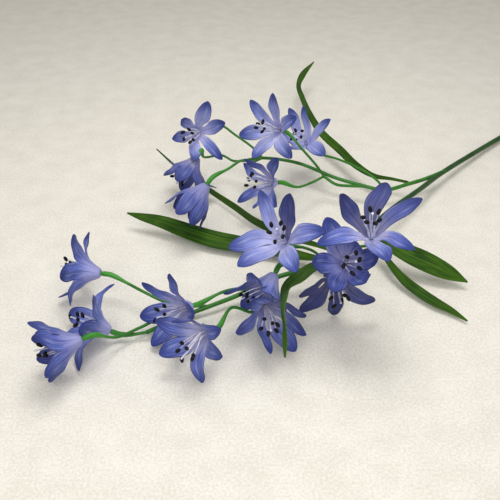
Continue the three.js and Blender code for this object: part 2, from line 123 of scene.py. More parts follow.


# The feet, facings, turns, lengths, openings and swings were fitted by other programs, rounded and in
# places changed, and so were some stalk points and stamen leans.
FLORETS: tuple[Floret, ...] = (
    Floret("u1", foot=(-42.2, 89.3, 47), faces=(283, 22), turn=70, length=32.6,
           opens=(66, 30, 36, 37, 90, 38), swings=(-1, 5, -8, 1, -3, 10),
           widths=(1, 0.7, 0.8, 0.8, 0.7, 0.9),
           lobe_tone_and_shading=(-0.1, 0.1, 0.1, 0, 0.35, 0.05),
           cut=Cut.STAR, stamens=(244, 14), on=Branch.UPPER, tone=-0.45,
           stalk=((10, 87, 25), (2, 97, 29), (-12, 105, 36), (-24, 110, 42))),
    Floret("u2", foot=(-40, 68, 37), faces=(230, -38), turn=4, length=31.5,
           opens=(46, 28, 18, 104, 26, 98), swings=(6, 0, -12, 12, -3, -5),
           stamens=(222, -30), on=Branch.UPPER, tone=0.45,
           stalk=((-6, 79, 27), (-14, 88, 22), (-22, 91, 25), (-36, 78, 31))),
    Floret("u3", foot=(23, 78, 54), faces=(230, 27), turn=90,
           opens=(68, 72, 95, 57, 105, 70), swings=(5, -4, -3, -2, -1, 4),
           widths=(0.8, 0.8, 1, 1, 1, 0.9),
           lobe_tone_and_shading=(0, 0.05, 0.1, -0.15, -0.1, 0.1),
           cut=Cut.STAR, stamens=(215, 28), on=Branch.UPPER, tone=-0.35,
           stalk=((57, 64, 22), (51, 62, 32), (38, 71, 44), (30, 82, 49))),
    Floret("u4", foot=(-30, 21, 42), faces=(214, -43), turn=5,
           opens=(20, 22, 14, 10, 10, 12), swings=(8, -8, 4, 0, 0, -4),
           stamens=(214, -43), on=Branch.UPPER, tone=0.35,
           stalk=((10, 87, 25), (2, 69, 32), (-6, 54, 42), (-16, 33, 47))),
    Floret("u5", foot=(46, 104, 28), faces=(246, 55), turn=149,
           opens=(50, 24, 34, 82, 49, 30), swings=(-14, -3, -5, -2, 7, 15),
           widths=(0.75, 1, 0.9, 1, 0.8, 0.5),
           cut=Cut.STAR, stamens=(228, 36), on=Branch.UPPER, tone=-0.4,
           stalk=((103, 57, 14), (100, 66, 16), (90, 79, 18), (72, 97, 18), (57, 108, 17))),
    Floret("u6", foot=(19, 36, 34), faces=(214, 19), turn=121, length=32,
           opens=(24, 104, 62, 34, 74, 84), swings=(4, -6, 0, 14, -14, 3),
           widths=(0.8, 0.6, 0.7, 1, 1, 1),
           lobe_tone_and_shading=(0, 0, 0, 0, -0.1, 0.35),
           cut=Cut.STAR, stamens=(206, 24), on=Branch.UPPER, tone=-0.02,
           stalk=((57, 64, 22), (46, 53, 23), (34, 41, 27))),
    Floret("m1", foot=(21, -61, 53), faces=(233, 49), turn=84, length=35.5,
           opens=(40, 71, 85, 68, 68, 88), swings=(1, -8, 14, -14, 5, 2),
           widths=(1, 0.75, 1, 1, 1, 1),
           lobe_tone_and_shading=(0.85, -0.1, -0.05, -0.1, -0.1, 0),
           cut=Cut.STAR, stamens=(255, 54), on=Branch.LOWER, tone=-0.2,
           stalk=((48, -40, 20), (42, -43, 31), (33, -50, 41))),
    Floret("m2", foot=(67.4, -77, 68.2), faces=(250, 66), turn=163, length=36.7,
           opens=(26, 101, 62, 66, 73, 108), swings=(3, -7, 17, -12, -4, -15),
           widths=(1, 0.9, 0.9, 0.7, 0.8, 1),
           lobe_tone_and_shading=(0.6, -0.1, -0.35, 0, 0.35, 0.6),
           cut=Cut.STAR, stamens=(252, 66), on=Branch.LOWER, tone=0.1,
           stalk=((58, -31, 21), (70, -40, 34), (77, -58, 48))),
    Floret("m3", foot=(55.2, -76.9, 50), faces=(256, 43), turn=132, length=32.4,
           opens=(82, 25, 26, 21, 25, -5), swings=(-10, 2, 7, 9, 3, -11),
           stamens=(283, 40), on=Branch.LOWER, tone=0.12,
           stalk=((48, -40, 20), (48, -48, 27), (47, -56, 34))),
    Floret("m4", foot=(52, -60, 29.4), faces=(267, -8), turn=100, length=32.8,
           opens=(80, 53, 75, 106, 100, 73), swings=(0, 7, -2, -7, -5, 7),
           widths=(1, 1, 1, 0.8, 1, 0.6),
           cut=Cut.STAR, stamens=(275, 0), on=Branch.LOWER, tone=0.75,
           stalk=((48, -40, 20), (51, -46, 26), (51, -54, 34))),
    Floret("m5", foot=(14.8, -71.7, 38.4), faces=(235, -30), turn=161, length=32.6,
           opens=(36, 50, 102, 66, 73, 98), swings=(1, 7, -7, -12, 14, -12),
           stamens=(192, -24), on=Branch.LOWER, tone=0.02,
           stalk=((31, -45, 18), (28, -55, 29), (23, -67, 42))),
    Floret("m6", foot=(8.1, -85.3, 25.4), faces=(288, 8), turn=110, length=32.3,
           opens=(61, 59, 11, 64, 23, 25), swings=(11, 4, 15, 8, -13, -25),
           widths=(1, 1, 0.6, 1, 0.7, 1),
           lobe_tone_and_shading=(0, 0, 0, 0.1, 0.2, 0.3),
           cut=Cut.STAR, stamens=(272, 12), on=Branch.LOWER, tone=0.2,
           stalk=((14, -51, 16), (14, -59, 13), (6, -75, 13))),
    Floret("l1", foot=(-94, -51, 21), faces=(173, 4), turn=162, length=33,
           opens=(90, 50, 38, 100, 80, 88), swings=(-7, 0, 14, 9, -8, -10),
           widths=(0.8, 1, 0.8, 0.9, 1, 1),
           lobe_tone_and_shading=(0.1, -0.1, 0, 0, 0, 0.05),
           stamens=(198, 30), on=Branch.LOWER, tone=0.08,
           stalk=((-25, -65, 6), (-40, -68, 9), (-52, -68, 12), (-66, -63, 16), (-77, -56, 17))),
    Floret("l2", foot=(-83.3, -90.3, 9.3), faces=(190, 36), turn=82,
           opens=(50, 113, 68, 61, 102, 49), swings=(-3, -7, 12, 0, 2, 8),
           stamens=(200, 42), on=Branch.LOWER, tone=0.02,
           stalk=((-62, -88, 6), (-71, -89, 5))),
    Floret("l3", foot=(-93, -112, 25), faces=(203, -4), turn=116, length=31.2,
           opens=(46, 16, 16, 42, 50, 52), swings=(-14, 14, 1, -14, 12, 12),
           lobe_tone_and_shading=(0, 0.2, 0.3, 0, 0, 0),
           stamens=(212, 14), on=Branch.LOWER, tone=0.22,
           stalk=((-36, -70, 5), (-52, -75, 7), (-66, -86, 8), (-78, -96, 10))),
    Floret("l4", foot=(-35, -79, 19), faces=(223, 17), turn=93, length=33,
           opens=(72, 50, 69, 46, 36, 68), swings=(2, 3, 2, -8, 2, 0),
           widths=(0.8, 0.6, 1, 1, 0.9, 1),
           stamens=(225, 15), on=Branch.LOWER, tone=0.08,
           stalk=((13, -51, 16), (0, -60, 18), (-16, -67, 20))),
    Floret("l5", foot=(-22, -107, 26), faces=(226, 15), turn=118, length=31.4,
           opens=(18, 60, 54, 100, 74, 84), swings=(-10, 0, -10, -5, 14, -14),
           widths=(0.55, 1, 1, 1, 1, 0.8),
           lobe_tone_and_shading=(0.4, 0, 0, 0, 0.1, 0.1),
           cut=Cut.STAR, stamens=(240, -6), on=Branch.LOWER, tone=0.05,
           stalk=((13, -51, 16), (7, -62, 10), (2, -79, 14), (-11, -88, 26))),
)
# The stems' and the leaves' first points were worked out by another program from given marks.
MAIN_STEM: tuple[Point, ...] = (
    (362, 281, 2.7), (310, 234, 3), (226, 159, 4.5), (189, 123, 7), (154, 86, 11),
    (130, 56, 15), (103, 23, 20), (82, -3, 21), (62, -26, 21),
)
UPPER_BRANCH: tuple[Point, ...] = (
    (158, 90, 11), (139, 75, 13), (124, 66, 14), (103, 57, 14), (89, 61, 15),
    (67, 70, 17), (38, 86, 21), (10, 87, 25), (-6, 79, 27),
)
UPPER_LOOP: tuple[Point, ...] = (
    (89, 61, 15), (75, 60, 16), (66, 59, 18), (57, 64, 22),
)
LOWER_BRANCH: tuple[Point, ...] = (
    (62, -26, 21), (58, -31, 21), (48, -40, 20), (31, -45, 18), (13, -51, 16),
    (-6, -56, 8), (-25, -65, 6), (-36, -70, 5), (-47, -77, 5), (-62, -88, 6),
)


@dataclass(frozen=True)
class StrapLeaf:
    """A strap leaf: places, half widths and the way its upper face looks."""

    name: str
    stations: tuple[tuple[float, ...], ...]


LEAVES: tuple[StrapLeaf, ...] = (
    StrapLeaf("leaf_upper_right", (
        (124, 68, 14, 1.1, 270, 60), (112, 73, 14, 1.3, 270, 60), (98, 76, 15, 2, 270, 55),
        (86, 90, 16, 2.9, 250, 50), (75, 112, 18, 3.3, 240, 50), (62, 138, 20, 3.1, 235, 50),
        (54, 169, 22, 2.7, 230, 45), (49, 204, 23, 2.4, 230, 45), (47, 227, 24, 2.2, 260, 40),
        (52, 248, 26, 2.9, 290, 50), (65, 274, 29, 0.5, 290, 60),
    )),
    StrapLeaf("leaf_middle_back", (
        (-79, 121, 14, 0.5, 220, 0), (-58, 94, 11, 1.5, 220, 0), (-33, 68, 8, 2.4, 222, 5),
        (-11, 43, 8, 2.9, 225, 8), (5, 22, 9, 3, 228, 10), (28, -1, 13, 2.6, 230, 20),
        (46, -18, 18, 1.6, 240, 40), (57, -29, 21, 1, 240, 40),
    )),
    StrapLeaf("leaf_middle_left", (
        (-90, 26, 14, 0.5, 265, 62), (-79, 23, 12.5, 2.9, 265, 62), (-65, 19, 11, 4.7, 265, 62),
        (-43, 9, 9, 6.2, 265, 62), (-25, 2, 7.5, 6.6, 265, 62), (-7, -3, 7, 6.3, 265, 64),
        (14, -8, 7, 5.3, 265, 66), (35, -17, 8, 3.6, 262, 70), (48, -26, 13, 1.8, 255, 70),
        (56, -32, 20, 1, 255, 70),
    )),
    StrapLeaf("leaf_crown_front", (
        (50, -46, 25, 1.5, 250, 60), (39, -57, 31, 3.5, 245, 55), (30, -73, 37, 4.8, 235, 50),
        (22, -88, 41, 4.7, 225, 42), (19, -102, 45, 3.4, 200, 30), (18, -111, 44, 2.3, 170, 20),
        (19, -118, 40, 2.6, 190, 10), (19, -121, 32, 1.9, 220, 5), (19, -124, 23, 0.5, 230, 0),
    )),
    StrapLeaf("leaf_right_long", (
        (80, -8, 22, 1.5, 270, 60), (93, -18, 19.5, 4.4, 268, 58), (106, -26, 16.5, 6.5, 266, 56),
        (119, -31.5, 13, 6.9, 266, 56), (132, -37, 9, 5, 266, 56), (143, -42, 6, 0.5, 266, 56),
    )),
    StrapLeaf("leaf_right_low", (
        (82, -4, 20, 1.1, 250, 50), (88, -17, 15, 1.4, 250, 50), (95, -32, 10.5, 2.3, 245, 50),
        (102, -43, 7.5, 3.1, 240, 52), (110, -52, 5.5, 3.4, 240, 55), (118, -60, 4.5, 3.1, 240, 60),
        (127, -67, 3.5, 2.1, 240, 65), (135, -75, 2.5, 0.5, 240, 70),
    )),
)


# ------------------------------------------------------------------ sums along curves
def direction(turn: Turn) -> np.ndarray:
    """Gives the unit direction of an azimuth and an elevation.

    Args:
        turn: azimuth and elevation in degrees.

    Returns:
        The direction as three numbers.
    """
    azimuth, elevation = (math.radians(value) for value in turn)
    level = math.cos(elevation)
    return np.array((level * math.cos(azimuth), level * math.sin(azimuth), math.sin(elevation)))


def ease(value: np.ndarray) -> np.ndarray:
    """Gives a smooth step from 0 to 1."""
    held = np.clip(value, 0.0, 1.0)
    return held * held * (3.0 - 2.0 * held)


def unit(vector: np.ndarray) -> np.ndarray:
    """Gives the vector, or each row of vectors, at length one."""
    return vector / np.maximum(np.linalg.norm(vector, axis=-1, keepdims=True), 1e-9)


def around(ahead: np.ndarray, angle: float) -> tuple[np.ndarray, np.ndarray]:
    """Gives two directions square to a way, turned about it.

    Args:
        ahead: the way.
        angle: the turn in radians.

    Returns:
        The first direction and the one a quarter turn on.
    """
    level = unit(np.cross(UP, ahead))
    upright = np.cross(ahead, level)
    c, s = math.cos(angle), math.sin(angle)
    return level * c + upright * s, -level * s + upright * c


def follow(knots: np.ndarray, count: int, samples: int = 24) -> np.ndarray:
    """Samples a smooth curve through knots at even steps of its length.

    The first three columns are the place. Any further columns, such as a width, go along.

    Args:
        knots: one row for each knot.
        count: how many steps to give.
        samples: fine steps between two knots while the length is measured.

    Returns:
        count + 1 rows.
    """
    first = 2.0 * knots[0] - knots[1]
    last = 2.0 * knots[-1] - knots[-2]
    rows = np.vstack((first, knots, last))
    fine = []
    for i in range(1, len(rows) - 2):
        four = rows[i - 1:i + 3]
        gaps = np.sqrt(np.maximum(np.linalg.norm(np.diff(four[:, :3], axis=0), axis=1), 1e-4))
        t0, t1, t2, t3 = np.concatenate(((0.0,), np.cumsum(gaps)))
        t = np.linspace(t1, t2, samples, endpoint=False)[:, None]
        a = [((b - t) * p + (t - c) * q) / (b - c)
             for c, b, p, q in ((t0, t1, four[0], four[1]), (t1, t2, four[1], four[2]),
                                (t2, t3, four[2], four[3]))]
        low = ((t2 - t) * a[0] + (t - t0) * a[1]) / (t2 - t0)
        high = ((t3 - t) * a[1] + (t - t1) * a[2]) / (t3 - t1)
        fine.append(((t2 - t) * low + (t - t1) * high) / (t2 - t1))
    path = np.vstack((*fine, knots[-1:]))
    run = np.concatenate(((0.0,), np.cumsum(np.linalg.norm(np.diff(path[:, :3], axis=0), axis=1))))
    wanted = np.linspace(0.0, run[-1], count + 1)
    return np.column_stack([np.interp(wanted, run, path[:, k]) for k in range(path.shape[1])])


def seated(points: np.ndarray) -> np.ndarray:
    """Moves places from the lists' frame to the part's own, in metres."""
    return (points - MIDDLE) * MM


# ------------------------------------------------------------------ meshes and trees
def new_object(name: str, points: np.ndarray, edges: Iterable, faces: Iterable) -> bpy.types.Object:
    """Makes a mesh object at the origin and links it to the scene.

    Args:
        name: the object's name.
        points: its vertices in metres.
        edges: its loose edges.
        faces: its faces.

    Returns:
        The new object.
    """
    mesh = bpy.data.meshes.new(name)
    mesh.from_pydata([tuple(p) for p in points], list(edges), list(faces))
    mesh.update()
    piece = bpy.data.objects.new(name, mesh)
    bpy.context.scene.collection.objects.link(piece)
    return piece


def write_attribute(mesh: bpy.types.Mesh, name: str, values: np.ndarray) -> None:
    """Stores one number, or one vector, for each vertex.

    Args:
        mesh: the mesh to store them in.
        name: the attribute's name.
        values: one row for each vertex.
    """
    vector = values.ndim == 2
    layer = mesh.attributes.new(name, "FLOAT_VECTOR" if vector else "FLOAT", "POINT")
    layer.data.foreach_set("vector" if vector else "value", values.astype(np.float32).ravel())


def new_paths(name: str, paths: Sequence[np.ndarray], **values: Sequence[np.ndarray]) -> bpy.types.Object:
    """Makes an object of loose paths.

    Args:
        name: the object's name.
        paths: each path's points, in the lists' frame.
        **values: each path's values, one row for each point, under their attribute's name.

    Returns:
        The new object.
    """
    points, edges = [], []
    for path in paths:
        start = len(points)
        points.extend(seated(path))
        edges.extend((start + k, start + k + 1) for k in range(len(path) - 1))
    piece = new_object(name, np.array(points), edges, ())
    for key, columns in values.items():
        write_attribute(piece.data, key, np.concatenate(columns))
    return piece


def new_sheet(name: str, chart: str, grids: Sequence[tuple[np.ndarray, np.ndarray]],
              turned: bool = False) -> bpy.types.Object:
    """Makes an object of grids of points.

    Args:
        name: the object's name.
        chart: the name of its map.
        grids: each grid's points in metres, row by row, and the place of each on the map.
        turned: whether the faces look the other way.

    Returns:
        The new object.
    """
    points, faces, places = [], [], []
    for grid, flat in grids:
        rows, columns = grid.shape[:2]
        start = len(points)
        points.extend(grid.reshape(-1, 3))
        spots = flat.reshape(-1, 2)
        for i in range(rows - 1):
            for a in range(i * columns, (i + 1) * columns - 1):
                ring = (a, a + columns, a + columns + 1, a + 1)
                ring = ring[:1] + ring[:0:-1] if turned else ring
                faces.append(tuple(start + k for k in ring))
                places.extend(spots[k] for k in ring)
    piece = new_object(name, np.array(points), (), faces)
    layer = piece.data.uv_layers.new(name=chart)
    layer.data.foreach_set("uv", np.array(places, dtype=np.float32).ravel())
    return piece


def settle(piece: bpy.types.Object) -> bpy.types.Object:
    """Turns the piece's modifiers into plain mesh, smoothly shaded.

    Args:
        piece: an object with modifiers.

    Returns:
        The same object with its shape in its mesh.
    """
    bpy.context.view_layer.update()
    graph = bpy.context.evaluated_depsgraph_get()
    evaluated = piece.evaluated_get(graph)
    shape = bpy.data.meshes.new_from_object(evaluated, depsgraph=graph)
    old = piece.data
    piece.modifiers.clear()
    piece.data = shape
    bpy.data.meshes.remove(old)
    shape.name = piece.name
    shape.shade_smooth()
    return piece


def give_wall(piece: bpy.types.Object, thickness: float, *finishes: bpy.types.Material) -> bpy.types.Object:
    """Turns a sheet into a closed, smooth skin.

    Args:
        piece: the sheet.
        thickness: the skin's thickness in millimetres.
        *finishes: the material of its face, and of its back where that has its own.

    Returns:
        The same object, now a skin.
    """
    wall = piece.modifiers.new("wall", "SOLIDIFY")
    wall.thickness = thickness * MM
    wall.offset = 0.0
    wall.material_offset = len(finishes) - 1
    for finish in finishes:
        piece.data.materials.append(finish)
    return settle(piece)


class Wiring:
    """Lays out the nodes of a tree and joins their sockets by name."""

    def __init__(self, tree: bpy.types.NodeTree) -> None:
        """Takes the tree whose nodes it lays out."""
        self.nodes = tree.nodes
        self.links = tree.links

    def feed(self, socket: bpy.types.NodeSocket, value: object) -> None:
        """Gives a socket a value or a link.

        Args:
            socket: the input to feed.
            value: a value or an output socket.
        """
        if isinstance(value, bpy.types.NodeSocket):
            self.links.new(value, socket)
        else:
            socket.default_value = value

    def add(self, kind: str, **inputs: object) -> bpy.types.Node:
        """Adds a node and feeds its inputs.

        Args:
            kind: the node's type.
            **inputs: a value or an output socket for each input, by its name.

        Returns:
            The node.
        """
        node = self.nodes.new(kind)
        for name, value in inputs.items():
            self.feed(node.inputs[name.replace("_", " ")], value)
        return node

    def sums(self, operation: str, a: object, b: object) -> bpy.types.NodeSocket:
        """Works out one number from two.

        Args:
            operation: the sum to do, such as ADD.
            a: the first number or socket.
            b: the second number or socket.

        Returns:
            The result's socket.
        """
        node = self.nodes.new("ShaderNodeMath")
        node.operation = operation
        self.feed(node.inputs[0], a)
        self.feed(node.inputs[1], b)
        return node.outputs[0]

    def times(self, a: object, b: object) -> bpy.types.NodeSocket:
        """Multiplies two numbers or sockets."""
        return self.sums("MULTIPLY", a, b)


class Tree(Wiring):
    """A geometry node tree that is wired by name."""

    def __init__(self, name: str) -> None:
        """Starts a tree with a geometry in and a geometry out.

        Args:
            name: the tree's name.
        """
        self.group = bpy.data.node_groups.new(name, "GeometryNodeTree")
        super().__init__(self.group)
        self.ids: dict[str, str] = {}
        self.port("Geometry", "NodeSocketGeometry")
        self.group.interface.new_socket("Geometry", in_out="OUTPUT", socket_type="NodeSocketGeometry")
        self.start = self.nodes.new("NodeGroupInput")
        self.end = self.nodes.new("NodeGroupOutput")

    def port(self, name: str, kind: str, value: Optional[float] = None) -> None:
        """Adds a named input.

        Args:
            name: the input's name.
            kind: its socket type.
            value: its value where nothing sets it.
        """
        socket = self.group.interface.new_socket(name, in_out="INPUT", socket_type=kind)
        if value is not None:
            socket.default_value = value
        self.ids[name] = socket.identifier

    def named(self, name: str, kind: str = "FLOAT") -> bpy.types.NodeSocket:
        """Reads an attribute of the geometry.

        Args:
            name: the attribute's name.
            kind: its type.

        Returns:
            Its socket.
        """
        node = self.add("GeometryNodeInputNamedAttribute", Name=name)
        node.data_type = kind
        return node.outputs["Attribute"]

    def rods(self, finish: str) -> bpy.types.NodeSocket:
        """Draws a round rod along each path; attribute gauge gives its radius.

        Args:
            finish: the name of the input that holds the rods' material.

        Returns:
            The finished rods.
        """
        start = self.start.outputs
        path = self.add("GeometryNodeMeshToCurve", Mesh=start["Geometry"])
        ring = self.add("GeometryNodeCurvePrimitiveCircle", Resolution=start["Sides"], Radius=1.0)
        rod = self.add("GeometryNodeCurveToMesh", Curve=path.outputs["Curve"], Fill_Caps=True,
                       Profile_Curve=ring.outputs["Curve"],
                       Scale=self.times(self.named("gauge"), start["Gauge"]))
        return self.coat(rod.outputs["Mesh"], finish)

    def coat(self, shape: bpy.types.NodeSocket, finish: str) -> bpy.types.NodeSocket:
        """Makes a shape real and gives it its material.

        Args:
            shape: the shape, which may be instances.
            finish: the name of the input that holds its material.

        Returns:
            The finished shape.
        """
        real = self.add("GeometryNodeRealizeInstances", Geometry=shape)
        coat = self.add("GeometryNodeSetMaterial", Geometry=real.outputs["Geometry"],
                        Material=self.start.outputs[finish])
        return coat.outputs["Geometry"]

    def close(self, *shapes: bpy.types.NodeSocket) -> None:
        """Joins shapes and sends them out of the tree.

        Args:
            *shapes: the shapes, in the order that they are joined.
        """
        both = self.add("GeometryNodeJoinGeometry")
        for shape in shapes:
            self.feed(both.inputs["Geometry"], shape)
        self.feed(self.end.inputs["Geometry"], both.outputs["Geometry"])

    def dress(self, piece: bpy.types.Object, **values: object) -> bpy.types.Object:
        """Puts the tree on a piece and turns its result into mesh.

        Args:
            piece: the object that holds the paths.
            **values: a value for each named input.

        Returns:
            The piece, now a plain mesh.
        """
        modifier = piece.modifiers.new(self.group.name, "NODES")
        modifier.node_group = self.group
        for name, value in values.items():
            modifier[self.ids[name.replace("_", " ")]] = value
        return settle(piece)


def rod_tree() -> Tree:
    """Makes the tree that draws a round rod along each path.

    Returns:
        A tree with the inputs Sides, Gauge and Finish. Attribute gauge gives the radius.
    """
    tree = Tree("round_rod")
    tree.port("Sides", "NodeSocketInt", 16)
    tree.port("Gauge", "NodeSocketFloat", 1.0)
    tree.port("Finish", "NodeSocketMaterial")
    tree.close(tree.rods("Finish"))
    return tree


def stamen_tree() -> Tree:
    """Makes the tree that draws filaments with an anther on each.

    Returns:
        A tree with the inputs Sides, Gauge, Anther length, Anther gauge, Filament and Anther.
        Attribute gauge gives a filament's radius, anther marks the tips that carry one, and
        lie is the way that an anther points.
    """
    tree = Tree("stamens")
    tree.port("Sides", "NodeSocketInt", 6)
    tree.port("Gauge", "NodeSocketFloat", 1.0)
    tree.port("Anther length", "NodeSocketFloat", 0.002)
    tree.port("Anther gauge", "NodeSocketFloat", 0.0008)
    tree.port("Filament", "NodeSocketMaterial")
    tree.port("Anther", "NodeSocketMaterial")
    start = tree.start.outputs
    tips = tree.add("GeometryNodeMeshToPoints", Mesh=start["Geometry"],
                    Selection=tree.named("anther", "BOOLEAN"))
    ball = tree.add("GeometryNodeMeshUVSphere", Segments=9, Rings=7, Radius=1.0)
    size = tree.add("ShaderNodeCombineXYZ", X=start["Anther gauge"], Y=start["Anther gauge"],
                    Z=start["Anther length"])
    aim = tree.add("FunctionNodeAlignRotationToVector", Vector=tree.named("lie", "FLOAT_VECTOR"))
    aim.axis = "Z"
    pods = tree.add("GeometryNodeInstanceOnPoints", Points=tips.outputs["Points"],
                    Instance=ball.outputs["Mesh"], Rotation=aim.outputs["Rotation"],
                    Scale=size.outputs["Vector"])
    tree.close(tree.coat(pods.outputs["Instances"], "Anther"), tree.rods("Filament"))
    return tree


# ------------------------------------------------------------------ finishes
@dataclass(frozen=True)
class Relief:
    """A raised pattern: its depth in metres and how strongly it shows."""

    depth: float
    strength: float


class Bench(Wiring):
    """Lays out the shader nodes of one material."""

    def __init__(self, name: str) -> None:
        """Starts a material that holds one principled surface.

        Args:
            name: the material's name.
        """
        self.material = bpy.data.materials.new(name)
        self.material.use_nodes = True
        super().__init__(self.material.node_tree)
        self.surface = next(n for n in self.nodes if n.type == "BSDF_PRINCIPLED")

    def set(self, **values: object) -> None:
        """Sets the surface's own sockets."""
        for name, value in values.items():
            self.surface.inputs[name.replace("_", " ")].default_value = value

    def span(self, value: object, low: float, high: float, to_low: float = 0.0,
             to_high: float = 1.0) -> bpy.types.NodeSocket:
        """Maps a range of a number onto another, smoothly.

        Args:
            value: the number or socket.
            low: where the range starts.
            high: where it ends.
            to_low: what its start becomes.
            to_high: what its end becomes.

        Returns:
            The result's socket.
        """
        node = self.add("ShaderNodeMapRange", Value=value, From_Min=low, From_Max=high,
                        To_Min=to_low, To_Max=to_high)
        node.interpolation_type = "SMOOTHSTEP"
        return node.outputs["Result"]

    def blend(self, share: object, a: object, b: object) -> bpy.types.NodeSocket:
        """Mixes two colours.

        Args:
            share: how much of the second one.
            a: the first colour or socket.
            b: the second colour or socket.

        Returns:
            The mixed colour's socket.
        """
        node = self.nodes.new("ShaderNodeMix")
        node.data_type = "RGBA"
        self.feed(node.inputs[0], share)
        for socket, value in ((node.inputs[6], a), (node.inputs[7], b)):
            self.feed(socket, value if isinstance(value, bpy.types.NodeSocket) else (*value, 1.0))
        return node.outputs[2]

    def noise(self, place: object, scale: float, detail: float = 3.0) -> bpy.types.NodeSocket:
        """Makes a cloudy number from 0 to 1."""
        node = self.add("ShaderNodeTexNoise", Vector=place, Scale=scale, Detail=detail)
        return node.outputs["Fac"]

    def stretch(self, place: bpy.types.NodeSocket, scale: Point) -> bpy.types.NodeSocket:
        """Scales a place along its three ways."""
        node = self.add("ShaderNodeMapping", Vector=place, Scale=scale)
        return node.outputs["Vector"]

    def surface_map(self, name: str) -> tuple[bpy.types.NodeSocket, ...]:
        """Reads a piece's own map.

        Args:
            name: the map's name.

        Returns:
            The place on the map, the way across it and the way along it.
        """
        node = self.add("ShaderNodeUVMap")
        node.uv_map = name
        parts = self.add("ShaderNodeSeparateXYZ", Vector=node.outputs["UV"])
        return node.outputs["UV"], parts.outputs["X"], parts.outputs["Y"]

    def off_middle(self, across: bpy.types.NodeSocket) -> bpy.types.NodeSocket:
        """Gives how far a spot lies from the middle line of its map."""
        return self.sums("ABSOLUTE", self.sums("SUBTRACT", across, 0.5), 0.0)

    def body(self) -> bpy.types.NodeSocket:
        """Reads the place on the piece itself."""
        return self.nodes.new("ShaderNodeTexCoord").outputs["Object"]

    def value_of(self, name: str) -> bpy.types.NodeSocket:
        """Reads an attribute as one number.

        Args:
            name: the attribute's name.

        Returns:
            Its socket.
        """
        node = self.add("ShaderNodeAttribute")
        node.attribute_name = name
        return node.outputs["Fac"]

    def emboss(self, height: object, relief: Relief) -> None:
        """Raises the surface by a pattern.

        Args:
            height: the pattern's socket.
            relief: how deep it is and how strongly it shows.
        """
        node = self.add("ShaderNodeBump", Height=height, Distance=relief.depth, Strength=relief.strength)
        self.links.new(node.outputs["Normal"], self.surface.inputs["Normal"])

    def colour(self, value: object) -> None:
        """Colours the surface."""
        self.feed(self.surface.inputs["Base Color"], value)

    def dull(self, value: object) -> None:
        """Sets how rough the surface is."""
        self.feed(self.surface.inputs["Roughness"], value)


@dataclass(frozen=True)
class PetalFinish:
    """Dyed satin petal: pale throat, violet blue blade, dark tip, fine streaks; a tone attribute paints
    shade or light on whole lobes, partly their own tone.
    """

    name: str
    throat: Colour = (0.66, 0.65, 0.92)
    blade: Colour = (0.128, 0.178, 0.60)
    tip: Colour = (0.016, 0.034, 0.20)
    vein: Colour = (0.040, 0.060, 0.30)
    pale: Colour = (0.50, 0.54, 0.90)
    # The next two colours follow the tone attribute: the dark one is painted shade, partly own darker tone,
    # and the pale one painted light, partly paler tone.
    deep: Colour = (0.034, 0.036, 0.130)
    pale_tone_and_light: Colour = (0.60, 0.63, 0.95)
    reach: float = 0.66
    roughness: float = 0.5
    cloud_scale: float = 130.0
    cloud_play: float = 0.35
    fine_scale: Point = (26.0, 2.2, 1.0)
    broad_scale: Point = (15.0, 1.5, 1.0)
    weave_scale: float = 2600.0
    relief: Relief = Relief(0.0006, 0.45)

    def material(self) -> bpy.types.Material:
        """Builds the material from the petal map, across and along.

        Returns:
            The material.
        """
        bench = Bench(self.name)
        spot, across, run = bench.surface_map("petal")
        off = bench.off_middle(across)
        tone = bench.value_of("tone")
        cloud = bench.noise(bench.body(), self.cloud_scale)
        wander = bench.times(bench.sums("SUBTRACT", cloud, 0.5), self.cloud_play)
        place = bench.sums("ADD", run, wander)
        base = bench.blend(bench.span(place, 0.16, self.reach), self.throat, self.blade)
        dark = bench.blend(bench.span(place, 0.60, 1.0, 0.0, 0.9), base, self.tip)
        rim = bench.times(bench.span(off, 0.28, 0.5), bench.span(run, 0.40, 0.7, 0.0, 0.75))
        edged = bench.blend(rim, dark, self.tip)
        fine = bench.noise(bench.stretch(spot, self.fine_scale), 1.0, 4.0)
        broad = bench.noise(bench.stretch(spot, self.broad_scale), 1.0, 2.0)
        fade = bench.span(run, 0.50, 0.95, 0.8, 0.2)
        threads = bench.times(bench.span(fine, 0.50, 0.66), fade)
        lit = bench.blend(threads, edged, self.pale)
        shade = bench.times(bench.span(broad, 0.48, 0.62), bench.span(run, 0.25, 0.62, 0.0, 0.7))
        streaked = bench.blend(shade, lit, self.vein)
        middle = bench.span(off, 0.018, 0.05, 1.0, 0.0)
        seam = bench.times(middle, bench.span(run, 0.1, 0.3, 0.1, 0.6))
        veined = bench.blend(seam, streaked, self.vein)
        # Painted shade and painted light: a positive tone darkens the lobe, a negative one pales its lower
        # part; partly the florets' own tone.
        deep = bench.blend(bench.sums("MAXIMUM", tone, 0.0), veined, self.deep)
        lift = bench.sums("MAXIMUM", bench.times(tone, -1.0), 0.0)
        shown = bench.times(lift, bench.span(run, 0.45, 0.9, 1.0, 0.1))
        bench.colour(bench.blend(shown, deep, self.pale_tone_and_light))
        weave = bench.noise(bench.body(), self.weave_scale, 1.0)
        rise = bench.sums("ADD", broad, bench.times(fine, 0.55))
        bench.emboss(bench.sums("ADD", rise, bench.times(weave, 0.12)), self.relief)
        bench.dull(bench.span(fine, 0.3, 0.7, self.roughness, self.roughness + 0.18))
        bench.set(Sheen_Weight=0.06, Sheen_Roughness=0.4, Sheen_Tint=(0.75, 0.78, 1.0, 1.0),
                  Specular_IOR_Level=0.2)
        return bench.material


